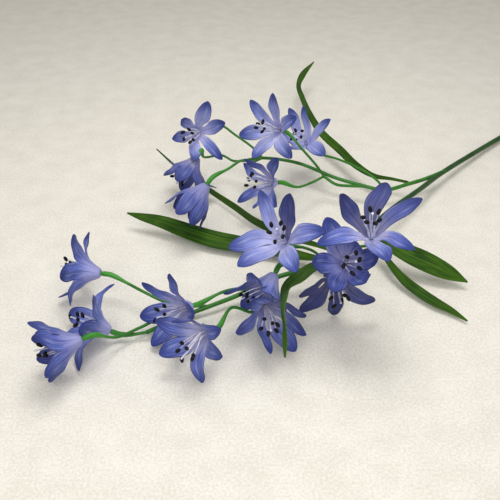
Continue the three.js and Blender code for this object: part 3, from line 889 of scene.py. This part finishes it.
@dataclass(frozen=True)
class StemFinish:
    """Glossy moulded green plastic, paler and yellower towards the necks."""

    name: str
    green: Colour = (0.010, 0.072, 0.008)
    pale: Colour = (0.030, 0.13, 0.02)
    dark: Colour = (0.004, 0.030, 0.003)
    roughness: float = 0.36
    cloud_scale: float = 90.0
    grain_scale: float = 900.0
    relief: Relief = Relief(0.0003, 0.3)

    def material(self) -> bpy.types.Material:
        """Builds the material; attribute along runs from 0 at the branch to 1 at the neck.

        Returns:
            The material.
        """
        bench = Bench(self.name)
        body = bench.body()
        along = bench.value_of("along")
        base = bench.blend(bench.span(along, 0.45, 1.0), self.green, self.pale)
        cloud = bench.noise(body, self.cloud_scale, 4.0)
        mottled = bench.blend(bench.times(bench.span(cloud, 0.4, 0.7), 0.5), base, self.dark)
        grain = bench.noise(body, self.grain_scale, 2.0)
        specks = bench.times(bench.span(grain, 0.5, 0.8), 0.22)
        bench.colour(bench.blend(specks, mottled, self.pale))
        bench.emboss(bench.sums("ADD", cloud, bench.times(grain, 0.35)), self.relief)
        bench.dull(bench.span(cloud, 0.3, 0.7, self.roughness, self.roughness + 0.16))
        bench.set(Specular_IOR_Level=0.32, Coat_Weight=0.05, Coat_Roughness=0.3)
        return bench.material


@dataclass(frozen=True)
class LeafFinish:
    """Printed cloth leaf: deep green with fine lighter lines along it."""

    name: str
    green: Colour = (0.013, 0.058, 0.0015)
    line: Colour = (0.078, 0.195, 0.007)
    dark: Colour = (0.004, 0.020, 0.001)
    roughness: float = 0.55
    fine_scale: Point = (30.0, 4.0, 1.0)
    broad_scale: Point = (9.0, 3.0, 1.0)
    patch_scale: float = 60.0
    rib_scale: float = 3.4
    relief: Relief = Relief(0.0005, 0.5)

    def material(self) -> bpy.types.Material:
        """Builds the material from the leaf map, across and along.

        Returns:
            The material.
        """
        bench = Bench(self.name)
        spot, across, run = bench.surface_map("leaf")
        off = bench.off_middle(across)
        fine = bench.noise(bench.stretch(spot, self.fine_scale), 1.0)
        broad = bench.noise(bench.stretch(spot, self.broad_scale), 1.0)
        patch = bench.noise(bench.body(), self.patch_scale)
        base = bench.blend(bench.span(patch, 0.35, 0.7, 0.0, 0.4), self.green, self.line)
        lined = bench.blend(bench.times(bench.span(fine, 0.48, 0.62), 0.75), base, self.line)
        shaded = bench.blend(bench.times(bench.span(broad, 0.5, 0.66), 0.6), lined, self.dark)
        keel = bench.times(bench.span(off, 0.012, 0.04, 1.0, 0.0), 0.55)
        keeled = bench.blend(keel, shaded, self.line)
        edge = bench.times(bench.span(off, 0.46, 0.5), 0.5)
        edged = bench.blend(edge, keeled, self.line)
        bench.colour(bench.blend(bench.span(run, 0.88, 1.0, 0.0, 0.35), edged, self.line))
        ribs = bench.add("ShaderNodeTexWave", Vector=spot, Scale=self.rib_scale, Distortion=0.4, Detail=1.0)
        ribs.bands_direction = "X"
        rise = bench.sums("ADD", bench.times(ribs.outputs["Fac"], 0.6), fine)
        bench.emboss(rise, self.relief)
        bench.dull(bench.span(fine, 0.3, 0.7, self.roughness - 0.05, self.roughness + 0.15))
        bench.set(Specular_IOR_Level=0.2, Sheen_Weight=0.02, Sheen_Roughness=0.5)
        return bench.material


@dataclass(frozen=True)
class ThreadFinish:
    """White moulded filament, clouded with a faint lilac grey."""

    name: str
    white: Colour = (0.88, 0.88, 0.93)
    shade: Colour = (0.50, 0.50, 0.72)
    cloud_scale: float = 260.0
    relief: Relief = Relief(0.0002, 0.3)

    def material(self) -> bpy.types.Material:
        """Builds the material.

        Returns:
            The material.
        """
        bench = Bench(self.name)
        cloud = bench.noise(bench.body(), self.cloud_scale)
        bench.colour(bench.blend(bench.span(cloud, 0.35, 0.7), self.white, self.shade))
        bench.emboss(cloud, self.relief)
        bench.dull(bench.span(cloud, 0.3, 0.7, 0.35, 0.5))
        bench.set(Specular_IOR_Level=0.45)
        return bench.material


@dataclass(frozen=True)
class AntherFinish:
    """Near black painted anther with a dusty skin."""

    name: str
    black: Colour = (0.005, 0.005, 0.008)
    dust: Colour = (0.022, 0.021, 0.028)
    grain_scale: float = 1500.0
    relief: Relief = Relief(0.0003, 0.5)

    def material(self) -> bpy.types.Material:
        """Builds the material.

        Returns:
            The material.
        """
        bench = Bench(self.name)
        grain = bench.noise(bench.body(), self.grain_scale)
        bench.colour(bench.blend(bench.span(grain, 0.5, 0.75, 0.0, 0.7), self.black, self.dust))
        bench.emboss(grain, self.relief)
        bench.dull(bench.span(grain, 0.3, 0.7, 0.4, 0.7))
        bench.set(Specular_IOR_Level=0.22)
        return bench.material


@dataclass(frozen=True)
class FeltFinish:
    """Plain off-white table covering with a soft nap, painted darker in its hollows as shade."""

    name: str
    cloth: Colour = (0.93, 0.90, 0.83)
    painted_hollow_shade: Colour = (0.78, 0.75, 0.68)
    nap_scale: float = 700.0
    wide_scale: float = 55.0
    nap_share: float = 0.7
    relief: Relief = Relief(0.0015, 0.25)

    def material(self) -> bpy.types.Material:
        """Builds the material.

        Returns:
            The material.
        """
        bench = Bench(self.name)
        body = bench.body()
        nap = bench.times(bench.noise(body, self.nap_scale, 6.0), self.nap_share)
        wide = bench.times(bench.noise(body, self.wide_scale, 4.0), 1.0 - self.nap_share)
        both = bench.sums("ADD", nap, wide)
        # Painted shade: the cloth is coloured darker where its nap and lumps sink.
        bench.colour(bench.blend(bench.span(both, 0.34, 0.66), self.painted_hollow_shade, self.cloth))
        bench.emboss(both, self.relief)
        bench.dull(0.95)
        bench.set(Specular_IOR_Level=0.1)
        return bench.material


# ------------------------------------------------------------------ corollas
@dataclass
class CorollaMaker:
    """Cuts the six-lobed corollas of the spray.

    Lengths are in millimetres, angles in degrees. Shares run from a lobe's foot to its tip, and shape
    its middle line: a flat floor, a widening neck up to where the lobes are joined, and the bend.
    """

    inside: bpy.types.Material
    outside: bpy.types.Material
    # the middle line
    base: float = 1.2
    joined: float = 0.32
    end: float = 0.995
    neck: float = 24.0
    widening: float = 14.0
    floor: float = 61.0
    floor_share: float = 0.055
    resting: float = 38.0
    bend_start: float = 0.288
    bend_share: float = 0.5
    # the outline
    half: float = 5.9
    shoulder: float = 0.46
    bluntness: float = 0.62
    least_half: float = 0.06
    most_half: float = 0.56
    parting: float = 0.12
    # the relief
    cup: float = 0.17
    cup_power: float = 1.4
    swell_power: float = 0.8
    crease: float = 0.50
    crease_half: float = 0.17
    crease_least: float = 0.25
    flute: float = 0.13
    flutes: float = 3.0
    wave: float = 0.62
    waves: float = 1.7
    wave_lag: float = 2.1
    nods: tuple[float, float] = (-1.2, 1.8)
    nod_start: float = 0.5
    stand: float = 0.3
    # the colour and the mesh
    play: float = 0.08
    wall: float = 0.36
    rows: int = 20
    funnel_rows: int = 7
    columns: int = 12
    fine: int = 400
    weld: float = 0.02
    foot_reach: float = 2.2
    cup_reach: float = 4.0
    rng: random.Random = field(default_factory=lambda: random.Random(17))

    def bend(self, share: np.ndarray) -> np.ndarray:
        """Gives how much of its own opening and swing a lobe has taken up."""
        return ease((share - self.bend_start) / self.bend_share)

    def slope(self, share: np.ndarray, opens: float) -> np.ndarray:
        """Gives the angle between a lobe's middle line and the floret's axis.

        Args:
            share: places along the lobe.
            opens: how far the lobe opens in degrees.

        Returns:
            The angles in radians.
        """
        neck = self.neck + self.widening * np.minimum(share / self.joined, 1.0) ** 2
        floor = self.floor * np.exp(-((share / self.floor_share) ** 2))
        return np.radians(neck + floor + (opens - self.resting) * self.bend(share))

    def reach(self, shares: np.ndarray, opens: float, length: float) -> tuple[np.ndarray, np.ndarray]:
        """Gives the radius and height of a lobe's middle line.

        Args:
            shares: places along the lobe.
            opens: how far the lobe opens in degrees.
            length: the lobe's length.

        Returns:
            The radii and the heights.
        """
        fine = np.linspace(0.0, 1.0, self.fine + 1)
        middle = self.slope((fine[1:] + fine[:-1]) / 2.0, opens)
        step = length / self.fine
        radius = self.base + np.concatenate(((0.0,), np.cumsum(np.sin(middle) * step)))
        height = np.concatenate(((0.0,), np.cumsum(np.cos(middle) * step)))
        return np.interp(shares, fine, radius), np.interp(shares, fine, height)

    def half_widths(self, root: float, widest: float, along: np.ndarray, flare: float) -> np.ndarray:
        """Gives a lobe's half width at each station, before it is held to its ring.

        Args:
            root: its half width where the lobes part.
            widest: its half width at the shoulder.
            along: places from where the lobes part to the tip.
            flare: the share over which it widens.

        Returns:
            The half widths.
        """
        wide = root + (widest - root) * ease(along / flare)
        left = 1.0 - (np.maximum(along - self.shoulder, 0.0) / (1.0 - self.shoulder)) ** 2
        return np.maximum(wide * left ** self.bluntness, self.least_half)

    def relief(self, along: np.ndarray, v: np.ndarray, width: np.ndarray) -> np.ndarray:
        """Gives how far a lobe's points rise off its flat shape: cup, crease, flutes, ripple and nod.

        Args:
            along: places from where the lobes part to the tip.
            v: places across from -1 to 1.
            width: the half width at each station.

        Returns:
            The rises, one row for each station.
        """
        body = np.sin(np.pi * along ** self.swell_power)[:, None]
        cup = self.cup * width[:, None] * np.abs(v)[None, :] ** self.cup_power
        crease = -self.crease * np.exp(-((v / self.crease_half) ** 2))[None, :] \
            * (self.crease_least + (1.0 - self.crease_least) * body)
        flutes = self.flute * np.cos(self.flutes * math.pi * v)[None, :] * body
        phase = self.rng.uniform(0.0, math.tau)
        lag = np.where(v < 0.0, 0.0, self.wave_lag)
        ripple = self.wave * (v ** 2)[None, :] * body \
            * np.sin(math.tau * self.waves * along[:, None] + phase + lag[None, :])
        late = np.maximum(along - self.nod_start, 0.0) / (1.0 - self.nod_start)
        nod = self.rng.uniform(*self.nods) * late ** 2
        return cup + crease + flutes + ripple + nod[:, None]

    def lobe(self, floret: Floret, index: int) -> tuple[np.ndarray, np.ndarray]:
        """Lays out one lobe as a grid.

        Args:
            floret: the floret it belongs to.
            index: which of the six it is.

        Returns:
            The grid's points, one row for each station, and the map of each point.
        """
        ahead = direction(floret.faces)
        first, second = around(ahead, math.radians(floret.turn))
        split, flare = floret.cut.value
        shares = np.concatenate((np.linspace(0.0, split, self.funnel_rows),
                                 np.linspace(split, self.end, self.rows + 1)[1:]))
        v = np.linspace(-1.0, 1.0, self.columns + 1)
        free = shares > self.joined + 1e-6
        opens = floret.opens[index]
        bare = self.reach(shares, self.resting, floret.length)
        full = self.reach(shares, opens, floret.length)
        radius = np.where(free, full[0], bare[0])
        height = np.where(free, full[1], bare[1])
        angle = np.where(free, self.slope(shares, opens), self.slope(shares, self.resting))
        swing = np.where(free, floret.swings[index] * self.bend(shares), 0.0)
        turn = np.radians(360.0 / LOBES * index + swing)

        def spoke(a: np.ndarray) -> np.ndarray:
            """Points out from the axis at an angle."""
            return np.cos(a)[..., None] * first + np.sin(a)[..., None] * second

        out = spoke(turn)
        across = np.cross(ahead, out)
        face = ahead * np.sin(angle)[:, None] - out * np.cos(angle)[:, None]
        along = np.clip((shares - split) / (1.0 - split), 0.0, 1.0)
        root = np.interp(split, shares, radius) * math.pi / LOBES
        free_width = self.half_widths(root, self.half * floret.widths[index], along, flare)
        width = np.minimum(free_width, self.most_half * radius)
        axis = seated(np.array(floret.foot)) / MM + ahead * height[:, None]
        arc = axis[:, None, :] + spoke(turn[:, None] + v[None, :] * math.pi / LOBES) * radius[:, None, None]
        sheet = (axis + out * radius[:, None])[:, None, :] \
            + across[:, None, :] * (v[None, :, None] * width[:, None, None]) \
            + face[:, None, :] * self.relief(along, v, width)[..., None]
        parted = ease(along / self.parting)
        points = arc + (sheet - arc) * parted[:, None, None] + face[:, None, :] * self.stand
        flat = np.dstack(np.broadcast_arrays(0.5 + 0.5 * v[None, :], shares[:, None]))
        return points * MM, flat

    def build(self, floret: Floret) -> bpy.types.Object:
        """Makes one corolla as a closed thin skin.

        Args:
            floret: the floret to make.

        Returns:
            The finished piece.
        """
        lobes, tone_and_shading_rows = [], []
        for index in range(LOBES):
            grid, flat = self.lobe(floret, index)
            lobes.append((grid, flat))
            # Each lobe's value adds a random tone to the floret's and the lobe's set ones, which hold
            # painted shade and painted light.
            shade = floret.tone + floret.lobe_tone_and_shading[index] + self.rng.uniform(-self.play, self.play)
            tone_and_shading_rows.append(np.full(flat[..., 0].size, shade))
        piece = new_sheet(f"corolla_{floret.name}", "petal", lobes)
        write_attribute(piece.data, "tone", np.concatenate(tone_and_shading_rows))
        self.seam(piece, seated(np.array(floret.foot)), direction(floret.faces))
        return give_wall(piece, self.wall, self.outside, self.inside)

    def seam(self, piece: bpy.types.Object, foot: np.ndarray, ahead: np.ndarray) -> None:
        """Joins the lobes along the funnel, closes its foot and turns its faces outwards.

        Args:
            piece: the sheet of six lobes.
            foot: the middle of the funnel's lowest ring, in metres.
            ahead: the way the floret faces.
        """
        sheet = bmesh.new()
        sheet.from_mesh(piece.data)
        bmesh.ops.remove_doubles(sheet, verts=sheet.verts, dist=self.weld * MM)
        middle = Vector(foot)
        ring = [edge for edge in sheet.edges if edge.is_boundary
                and all((v.co - middle).length < self.foot_reach * MM for v in edge.verts)]
        bmesh.ops.edgeloop_fill(sheet, edges=ring)
        bmesh.ops.recalc_face_normals(sheet, faces=sheet.faces)
        cup = [face for face in sheet.faces
               if (face.calc_center_median() - middle).length < self.cup_reach * MM]
        if sum(face.normal.dot(Vector(ahead)) * face.calc_area() for face in cup) > 0.0:
            bmesh.ops.reverse_faces(sheet, faces=sheet.faces)
        sheet.to_mesh(piece.data)
        sheet.free()


# ------------------------------------------------------------------ stamens
@dataclass
class StamenMaker:
    """Sets the filaments, anthers and style of each floret.

    A thread stands on a ring at its root, widens to another at its bend and then leans its own way.
    """

    filament: bpy.types.Material
    anther: bpy.types.Material
    tree: Tree
    count: int = 6
    length: float = 25.0
    shortest: float = 0.84
    longer: float = 0.07
    style_length: float = 1.06
    knob: float = 9.0
    root_height: float = 1.6
    root_ring: float = 0.7
    middle_ring: float = 1.5
    bend_ring: float = 2.0
    first_turn: float = 0.3
    spread: float = 0.24
    spreads: tuple[float, float] = (0.3, 1.35)
    bow_share: float = 0.55
    bows: tuple[float, float] = (0.2, 0.8)
    gauge: float = 0.46
    root_gauge: float = 1.35
    taper: float = 0.75
    style_gauge: float = 0.36
    style_head: float = 0.3
    head_start: float = 0.9
    head_share: float = 0.1
    anther_length: float = 3.8
    anther_gauge: float = 1.15
    anther_tilt: float = 1.4
    anther_out: float = 0.8
    steps: int = 9
    rng: random.Random = field(default_factory=lambda: random.Random(5))

    def thread(self, floret: Floret, index: int) -> tuple[np.ndarray, np.ndarray, np.ndarray]:
        """Lays out one filament.

        Args:
            floret: the floret it stands in.
            index: which one; the last is the style.

        Returns:
            Its points, its radii and the way its anther lies, for each point.
        """
        ahead = direction(floret.faces)
        lean = direction(floret.stamens)
        turn = math.radians(floret.turn) + index * math.tau / self.count + self.first_turn
        out = around(ahead, turn)[0]
        style = index == self.count
        if style:
            out = out * 0.0
        way = unit(lean + out * self.spread * self.rng.uniform(*self.spreads))
        share = self.style_length if style else self.shortest + self.longer * (index % 3)
        long = self.length * share - self.knob
        foot = np.array(floret.foot)
        bend = foot + ahead * self.knob + out * self.bend_ring
        knots = np.array((
            foot + ahead * self.root_height + out * self.root_ring,
            foot + ahead * 0.5 * self.knob + out * self.middle_ring,
            bend,
            bend + way * long * self.bow_share + out * self.rng.uniform(*self.bows),
            bend + way * long,
        ))
        path = follow(knots, self.steps)
        run = np.linspace(0.0, 1.0, len(path))
        radii = self.gauge * (self.root_gauge - self.taper * run)
        if style:
            radii = self.style_gauge + self.style_head * ease((run - self.head_start) / self.head_share)
        tilt = unit(np.cross(way, out + 0.01)) * self.rng.uniform(-self.anther_tilt, self.anther_tilt)
        return path, radii, np.tile(unit(way + tilt + out * self.anther_out), (len(path), 1))

    def build(self, floret: Floret) -> bpy.types.Object:
        """Makes the stamens of one floret.

        Args:
            floret: the floret to make them for.

        Returns:
            The finished piece.
        """
        which = range(self.count + 1)
        paths, radii, lies = zip(*(self.thread(floret, index) for index in which))
        tips = [np.append(np.zeros(self.steps), float(index < self.count)) for index in which]
        piece = new_paths(f"stamen_set_{floret.name}", paths, gauge=[radius * MM for radius in radii],
                          anther=tips, lie=lies)
        return self.tree.dress(
            piece,
            Anther_length=0.5 * self.anther_length * MM,
            Anther_gauge=self.anther_gauge * MM,
            Filament=self.filament,
            Anther=self.anther,
        )


# ------------------------------------------------------------------ stems
@dataclass(frozen=True)
class Route:
    """A smooth run of stem: knots, radii along it and how its colour runs."""

    knots: Sequence[Point]
    radius: Callable[[np.ndarray], np.ndarray]
    steps: int
    shade: tuple[float, float]

    def points(self) -> tuple[np.ndarray, np.ndarray, np.ndarray]:
        """Lays out the run.

        Returns:
            Its places, radii and colour shares.
        """
        path = follow(np.array(self.knots, dtype=float), self.steps)
        share = np.linspace(0.0, 1.0, len(path))
        return path, self.radius(share), self.shade[0] + (self.shade[1] - self.shade[0]) * share


@dataclass
class StemMaker:
    """Draws the main stem, the two branches and the floret stalks.

    A run's radii are given at its two ends, and the shade of a run goes from 0, as green as the main
    stem, to 1, as pale as a neck.
    """

    finish: bpy.types.Material
    pale: bpy.types.Material
    tree: Tree
    cut: float = 2.4
    fork: float = 2.1
    crown: float = 1.7
    fork_share: float = 0.6
    main_steps: int = 90
    main_shade: tuple[float, float] = (0.0, 0.2)
    upper: tuple[float, float] = (1.6, 1.2)
    upper_steps: int = 80
    loop: tuple[float, float] = (1.1, 1.2)
    loop_steps: int = 24
    loop_shade: tuple[float, float] = (0.1, 0.3)
    lower: tuple[float, float] = (1.7, 1.3)
    lower_steps: int = 90
    branch_shade: tuple[float, float] = (0.0, 0.3)
    thin: float = 0.95
    thick: float = 1.65
    neck: float = 12.0
    neck_start: float = 1.6
    pinch: float = 0.22
    pinch_length: float = 2.2
    bite: float = 0.2
    slack: float = 1.02
    stalk_steps: int = 36
    sides: int = 14

    def main_radius(self, share: np.ndarray) -> np.ndarray:
        """Gives the main stem's radius from its cut end to its crown."""
        return np.interp(share, (0.0, self.fork_share, 1.0), (self.cut, self.fork, self.crown))

    def taper(self, start: float, end: float) -> Callable[[np.ndarray], np.ndarray]:
        """Gives a radius that runs evenly from one size to another."""
        return lambda share: start + (end - start) * share

    def stalk(self, floret: Floret) -> Route:
        """Gives the run of one floret's stalk, thickened to a neck under the cup.

        Args:
            floret: the floret it carries.

        Returns:
            The run.
        """
        ahead = direction(floret.faces)
        foot = np.array(floret.foot, dtype=float)
        knots = [*floret.stalk, tuple(foot - ahead * self.neck * 0.5), tuple(foot + ahead * self.bite)]
        legs = np.linalg.norm(np.diff(np.array(knots, dtype=float), axis=0), axis=1)
        whole = float(np.sum(legs)) * self.slack

        def radius(share: np.ndarray) -> np.ndarray:
            """Swells over the neck and draws in under the cup.

            Args:
                share: places along the run.

            Returns:
                The radii.
            """
            left = whole * (1.0 - share)
            full = self.thin + (self.thick - self.thin) * ease(self.neck_start - left / self.neck)
            return full * (1.0 - self.pinch * ease(1.0 - left / self.pinch_length))

        return Route(knots, radius, self.stalk_steps, (0.0, 1.0))

    def draw(self, name: str, runs: Sequence[Route], finish: bpy.types.Material) -> bpy.types.Object:
        """Draws runs of stem as one piece.

        Args:
            name: the piece's name.
            runs: the runs in it.
            finish: its material.

        Returns:
            The finished piece.
        """
        paths, radii, shares = zip(*(run.points() for run in runs))
        piece = new_paths(name, paths, gauge=[radius * MM for radius in radii], along=shares)
        return self.tree.dress(piece, Sides=self.sides, Finish=finish)

    def main_stem(self) -> bpy.types.Object:
        """Draws the main stem."""
        run = Route(MAIN_STEM, self.main_radius, self.main_steps, self.main_shade)
        return self.draw("stem_main", (run,), self.finish)

    def branch(self, which: Branch) -> bpy.types.Object:
        """Draws one branch with its florets' stalks.

        Args:
            which: the branch to draw.

        Returns:
            The finished piece.
        """
        runs = [self.stalk(floret) for floret in FLORETS if floret.on is which]
        if which is Branch.UPPER:
            runs.append(Route(UPPER_BRANCH, self.taper(*self.upper), self.upper_steps, self.branch_shade))
            runs.append(Route(UPPER_LOOP, self.taper(*self.loop), self.loop_steps, self.loop_shade))
        else:
            runs.append(Route(LOWER_BRANCH, self.taper(*self.lower), self.lower_steps, self.branch_shade))
        return self.draw(f"branch_{which.value}", runs, self.pale)


# ------------------------------------------------------------------ leaves
@dataclass
class LeafMaker:
    """Cuts the strap leaves, keeled and finely ribbed."""

    finish: bpy.types.Material
    rows: int = 84
    columns: int = 16
    least_half: float = 0.25
    wall: float = 0.55
    keel: float = 0.18
    keel_power: float = 1.3
    rib: float = 0.10
    ribs: float = 7.0
    rib_half: float = 4.0
    wave: float = 0.35
    waves: float = 2.3
    wave_half: float = 5.0
    phases: tuple[float, float] = (0.0, 6.0)

    def relief(self, half: np.ndarray, v: np.ndarray, share: np.ndarray, phase: float) -> np.ndarray:
        """Gives how far a leaf's points rise off its flat shape: keel, ribs and ripple.

        Args:
            half: the half width at each station.
            v: places across from -1 to 1.
            share: places along from 0 to 1.
            phase: where its ripple starts.

        Returns:
            The rises, one row for each station.
        """
        keel = self.keel * half[:, None] * np.abs(v)[None, :] ** self.keel_power
        ribs = self.rib * np.cos(self.ribs * math.pi * v)[None, :] \
            * np.minimum(half / self.rib_half, 1.0)[:, None]
        ripple = self.wave * (v ** 2)[None, :] * np.sin(math.tau * self.waves * share + phase)[:, None] \
            * np.minimum(half / self.wave_half, 1.0)[:, None]
        return keel + ribs + ripple

    def build(self, leaf: StrapLeaf, seed: int) -> bpy.types.Object:
        """Makes one leaf as a closed thin blade.

        Args:
            leaf: the leaf's stations.
            seed: what its ripple starts from.

        Returns:
            The finished piece.
        """
        stations = np.array(leaf.stations, dtype=float)
        looks = np.array([direction((row[4], row[5])) for row in leaf.stations])
        rows = follow(np.column_stack((stations[:, :4], looks)), self.rows)
        centre = seated(rows[:, :3]) / MM
        half = np.maximum(rows[:, 3], self.least_half)
        ahead = unit(np.gradient(centre, axis=0))
        side = unit(np.cross(ahead, unit(rows[:, 4:7])))
        face = np.cross(side, ahead)
        v = np.linspace(-1.0, 1.0, self.columns + 1)
        share = np.linspace(0.0, 1.0, len(rows))
        rise = self.relief(half, v, share, random.Random(seed).uniform(*self.phases))
        grid = centre[:, None, :] + side[:, None, :] * (half[:, None] * v[None, :])[..., None] \
            + face[:, None, :] * rise[..., None]
        flat = np.dstack(np.broadcast_arrays(0.5 + 0.5 * v[None, :], share[:, None]))
        piece = new_sheet(f"blade_{leaf.name}", "leaf", [(grid * MM, flat)], turned=True)
        return give_wall(piece, self.wall, self.finish)


# ------------------------------------------------------------------ the table, light and camera
@dataclass(frozen=True)
class Lamp:
    """One soft lamp: its place and aim in metres, its side in metres and its power in watts."""

    name: str
    place: Point
    aim: Point
    side: float
    power: float
    colour: Colour = (1.0, 0.985, 0.95)

    def hang(self) -> None:
        """Hangs the lamp."""
        light = bpy.data.lights.new(self.name, "AREA")
        light.size = self.side
        light.energy = self.power
        light.color = self.colour
        aim_at(bpy.data.objects.new(self.name, light), self.place, self.aim)


def aim_at(thing: bpy.types.Object, place: Point, aim: Point) -> None:
    """Puts a lamp or a camera in its place and points it.

    Args:
        thing: the lamp or the camera.
        place: where it goes, in metres.
        aim: what it points at.
    """
    thing.location = place
    thing.rotation_euler = (Vector(aim) - Vector(place)).to_track_quat("-Z", "Y").to_euler()
    bpy.context.scene.collection.objects.link(thing)


@dataclass(frozen=True)
class Studio:
    """The plain table covering, the soft lights and the camera."""

    pitch: float = 38.0
    distance: float = 465.0
    lens: float = 46.87
    sensor: float = 36.0
    near: float = 0.01
    half_floor: float = 2.6
    lamps: tuple[Lamp, ...] = (
        Lamp("lamp_overhead", (-0.10, -0.04, 0.62), (-0.10, -0.06, 0.0), 0.26, 1.75),
        Lamp("lamp_front", (-0.16, -0.58, 0.50), (-0.16, -0.34, 0.0), 0.6, 1.9),
    )
    glow: Colour = (1.0, 0.98, 0.94)
    glow_strength: float = 0.42

    def floor(self, finish: bpy.types.Material) -> bpy.types.Object:
        """Lays the covering under the spray.

        Args:
            finish: its material.

        Returns:
            The covering.
        """
        corners = np.array(((-1.0, -1.0, 0.0), (1.0, -1.0, 0.0), (1.0, 1.0, 0.0), (-1.0, 1.0, 0.0)))
        piece = new_object("table_covering", corners * self.half_floor, (), ((0, 1, 2, 3),))
        piece.data.materials.append(finish)
        return piece

    def lights(self) -> None:
        """Hangs the lamps and sets the room's glow."""
        for lamp in self.lamps:
            lamp.hang()
        world = bpy.data.worlds.new("room")
        world.use_nodes = True
        glow = world.node_tree.nodes["Background"]
        glow.inputs["Color"].default_value = (*self.glow, 1.0)
        glow.inputs["Strength"].default_value = self.glow_strength
        bpy.context.scene.world = world
        bpy.context.scene.view_settings.view_transform = "Standard"

    def camera(self) -> None:
        """Sets the camera that looks down on the table."""
        pitch = math.radians(self.pitch)
        place = seated(np.array((0.0, -self.distance * math.cos(pitch), self.distance * math.sin(pitch))))
        data = bpy.data.cameras.new("camera")
        data.lens = self.lens
        data.sensor_width = self.sensor
        data.clip_start = self.near
        camera = bpy.data.objects.new("camera", data)
        aim_at(camera, place, seated(np.zeros(3)))
        bpy.context.scene.camera = camera


# ------------------------------------------------------------------ the whole spray
def enter(piece: bpy.types.Object, nodes: Sequence[str]) -> None:
    """Enters a finished piece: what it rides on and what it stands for.

    Args:
        piece: the finished piece.
        nodes: the solids that it stands for.
    """
    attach(piece, "root")
    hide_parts(*nodes)
    LOG.info("%s: %d faces for %s", piece.name, len(piece.data.polygons), ", ".join(nodes))


def main() -> None:
    """Makes every piece of the spray, the table, the lights and the camera."""
    logging.basicConfig(level=logging.INFO, format="%(message)s")
    studio = Studio()
    studio.camera()
    studio.lights()
    studio.floor(FeltFinish("felt_white").material())
    rods = rod_tree()
    stems = StemMaker(
        StemFinish("green_stem").material(),
        StemFinish("green_stalk", green=(0.035, 0.20, 0.018), pale=(0.055, 0.31, 0.030),
                   dark=(0.012, 0.09, 0.008)).material(),
        rods,
    )
    enter(stems.main_stem(), ("main_stem",))
    for which in Branch:
        enter(stems.branch(which), (f"{which.value}_branch",))
    leaves = LeafMaker(LeafFinish("green_leaf").material())
    for seed, leaf in enumerate(LEAVES):
        enter(leaves.build(leaf, seed), (leaf.name,))
    corollas = CorollaMaker(
        PetalFinish("violet_satin").material(),
        PetalFinish("violet_satin_back", throat=(0.40, 0.41, 0.78), reach=0.60).material(),
    )
    stamens = StamenMaker(
        ThreadFinish("white_filament").material(),
        AntherFinish("black_anther").material(),
        stamen_tree(),
    )
    for floret in FLORETS:
        enter(corollas.build(floret), (f"petals_{floret.name}",))
        enter(stamens.build(floret), (f"stamens_{floret.name}",))


if __name__ == "__main__":
    main()
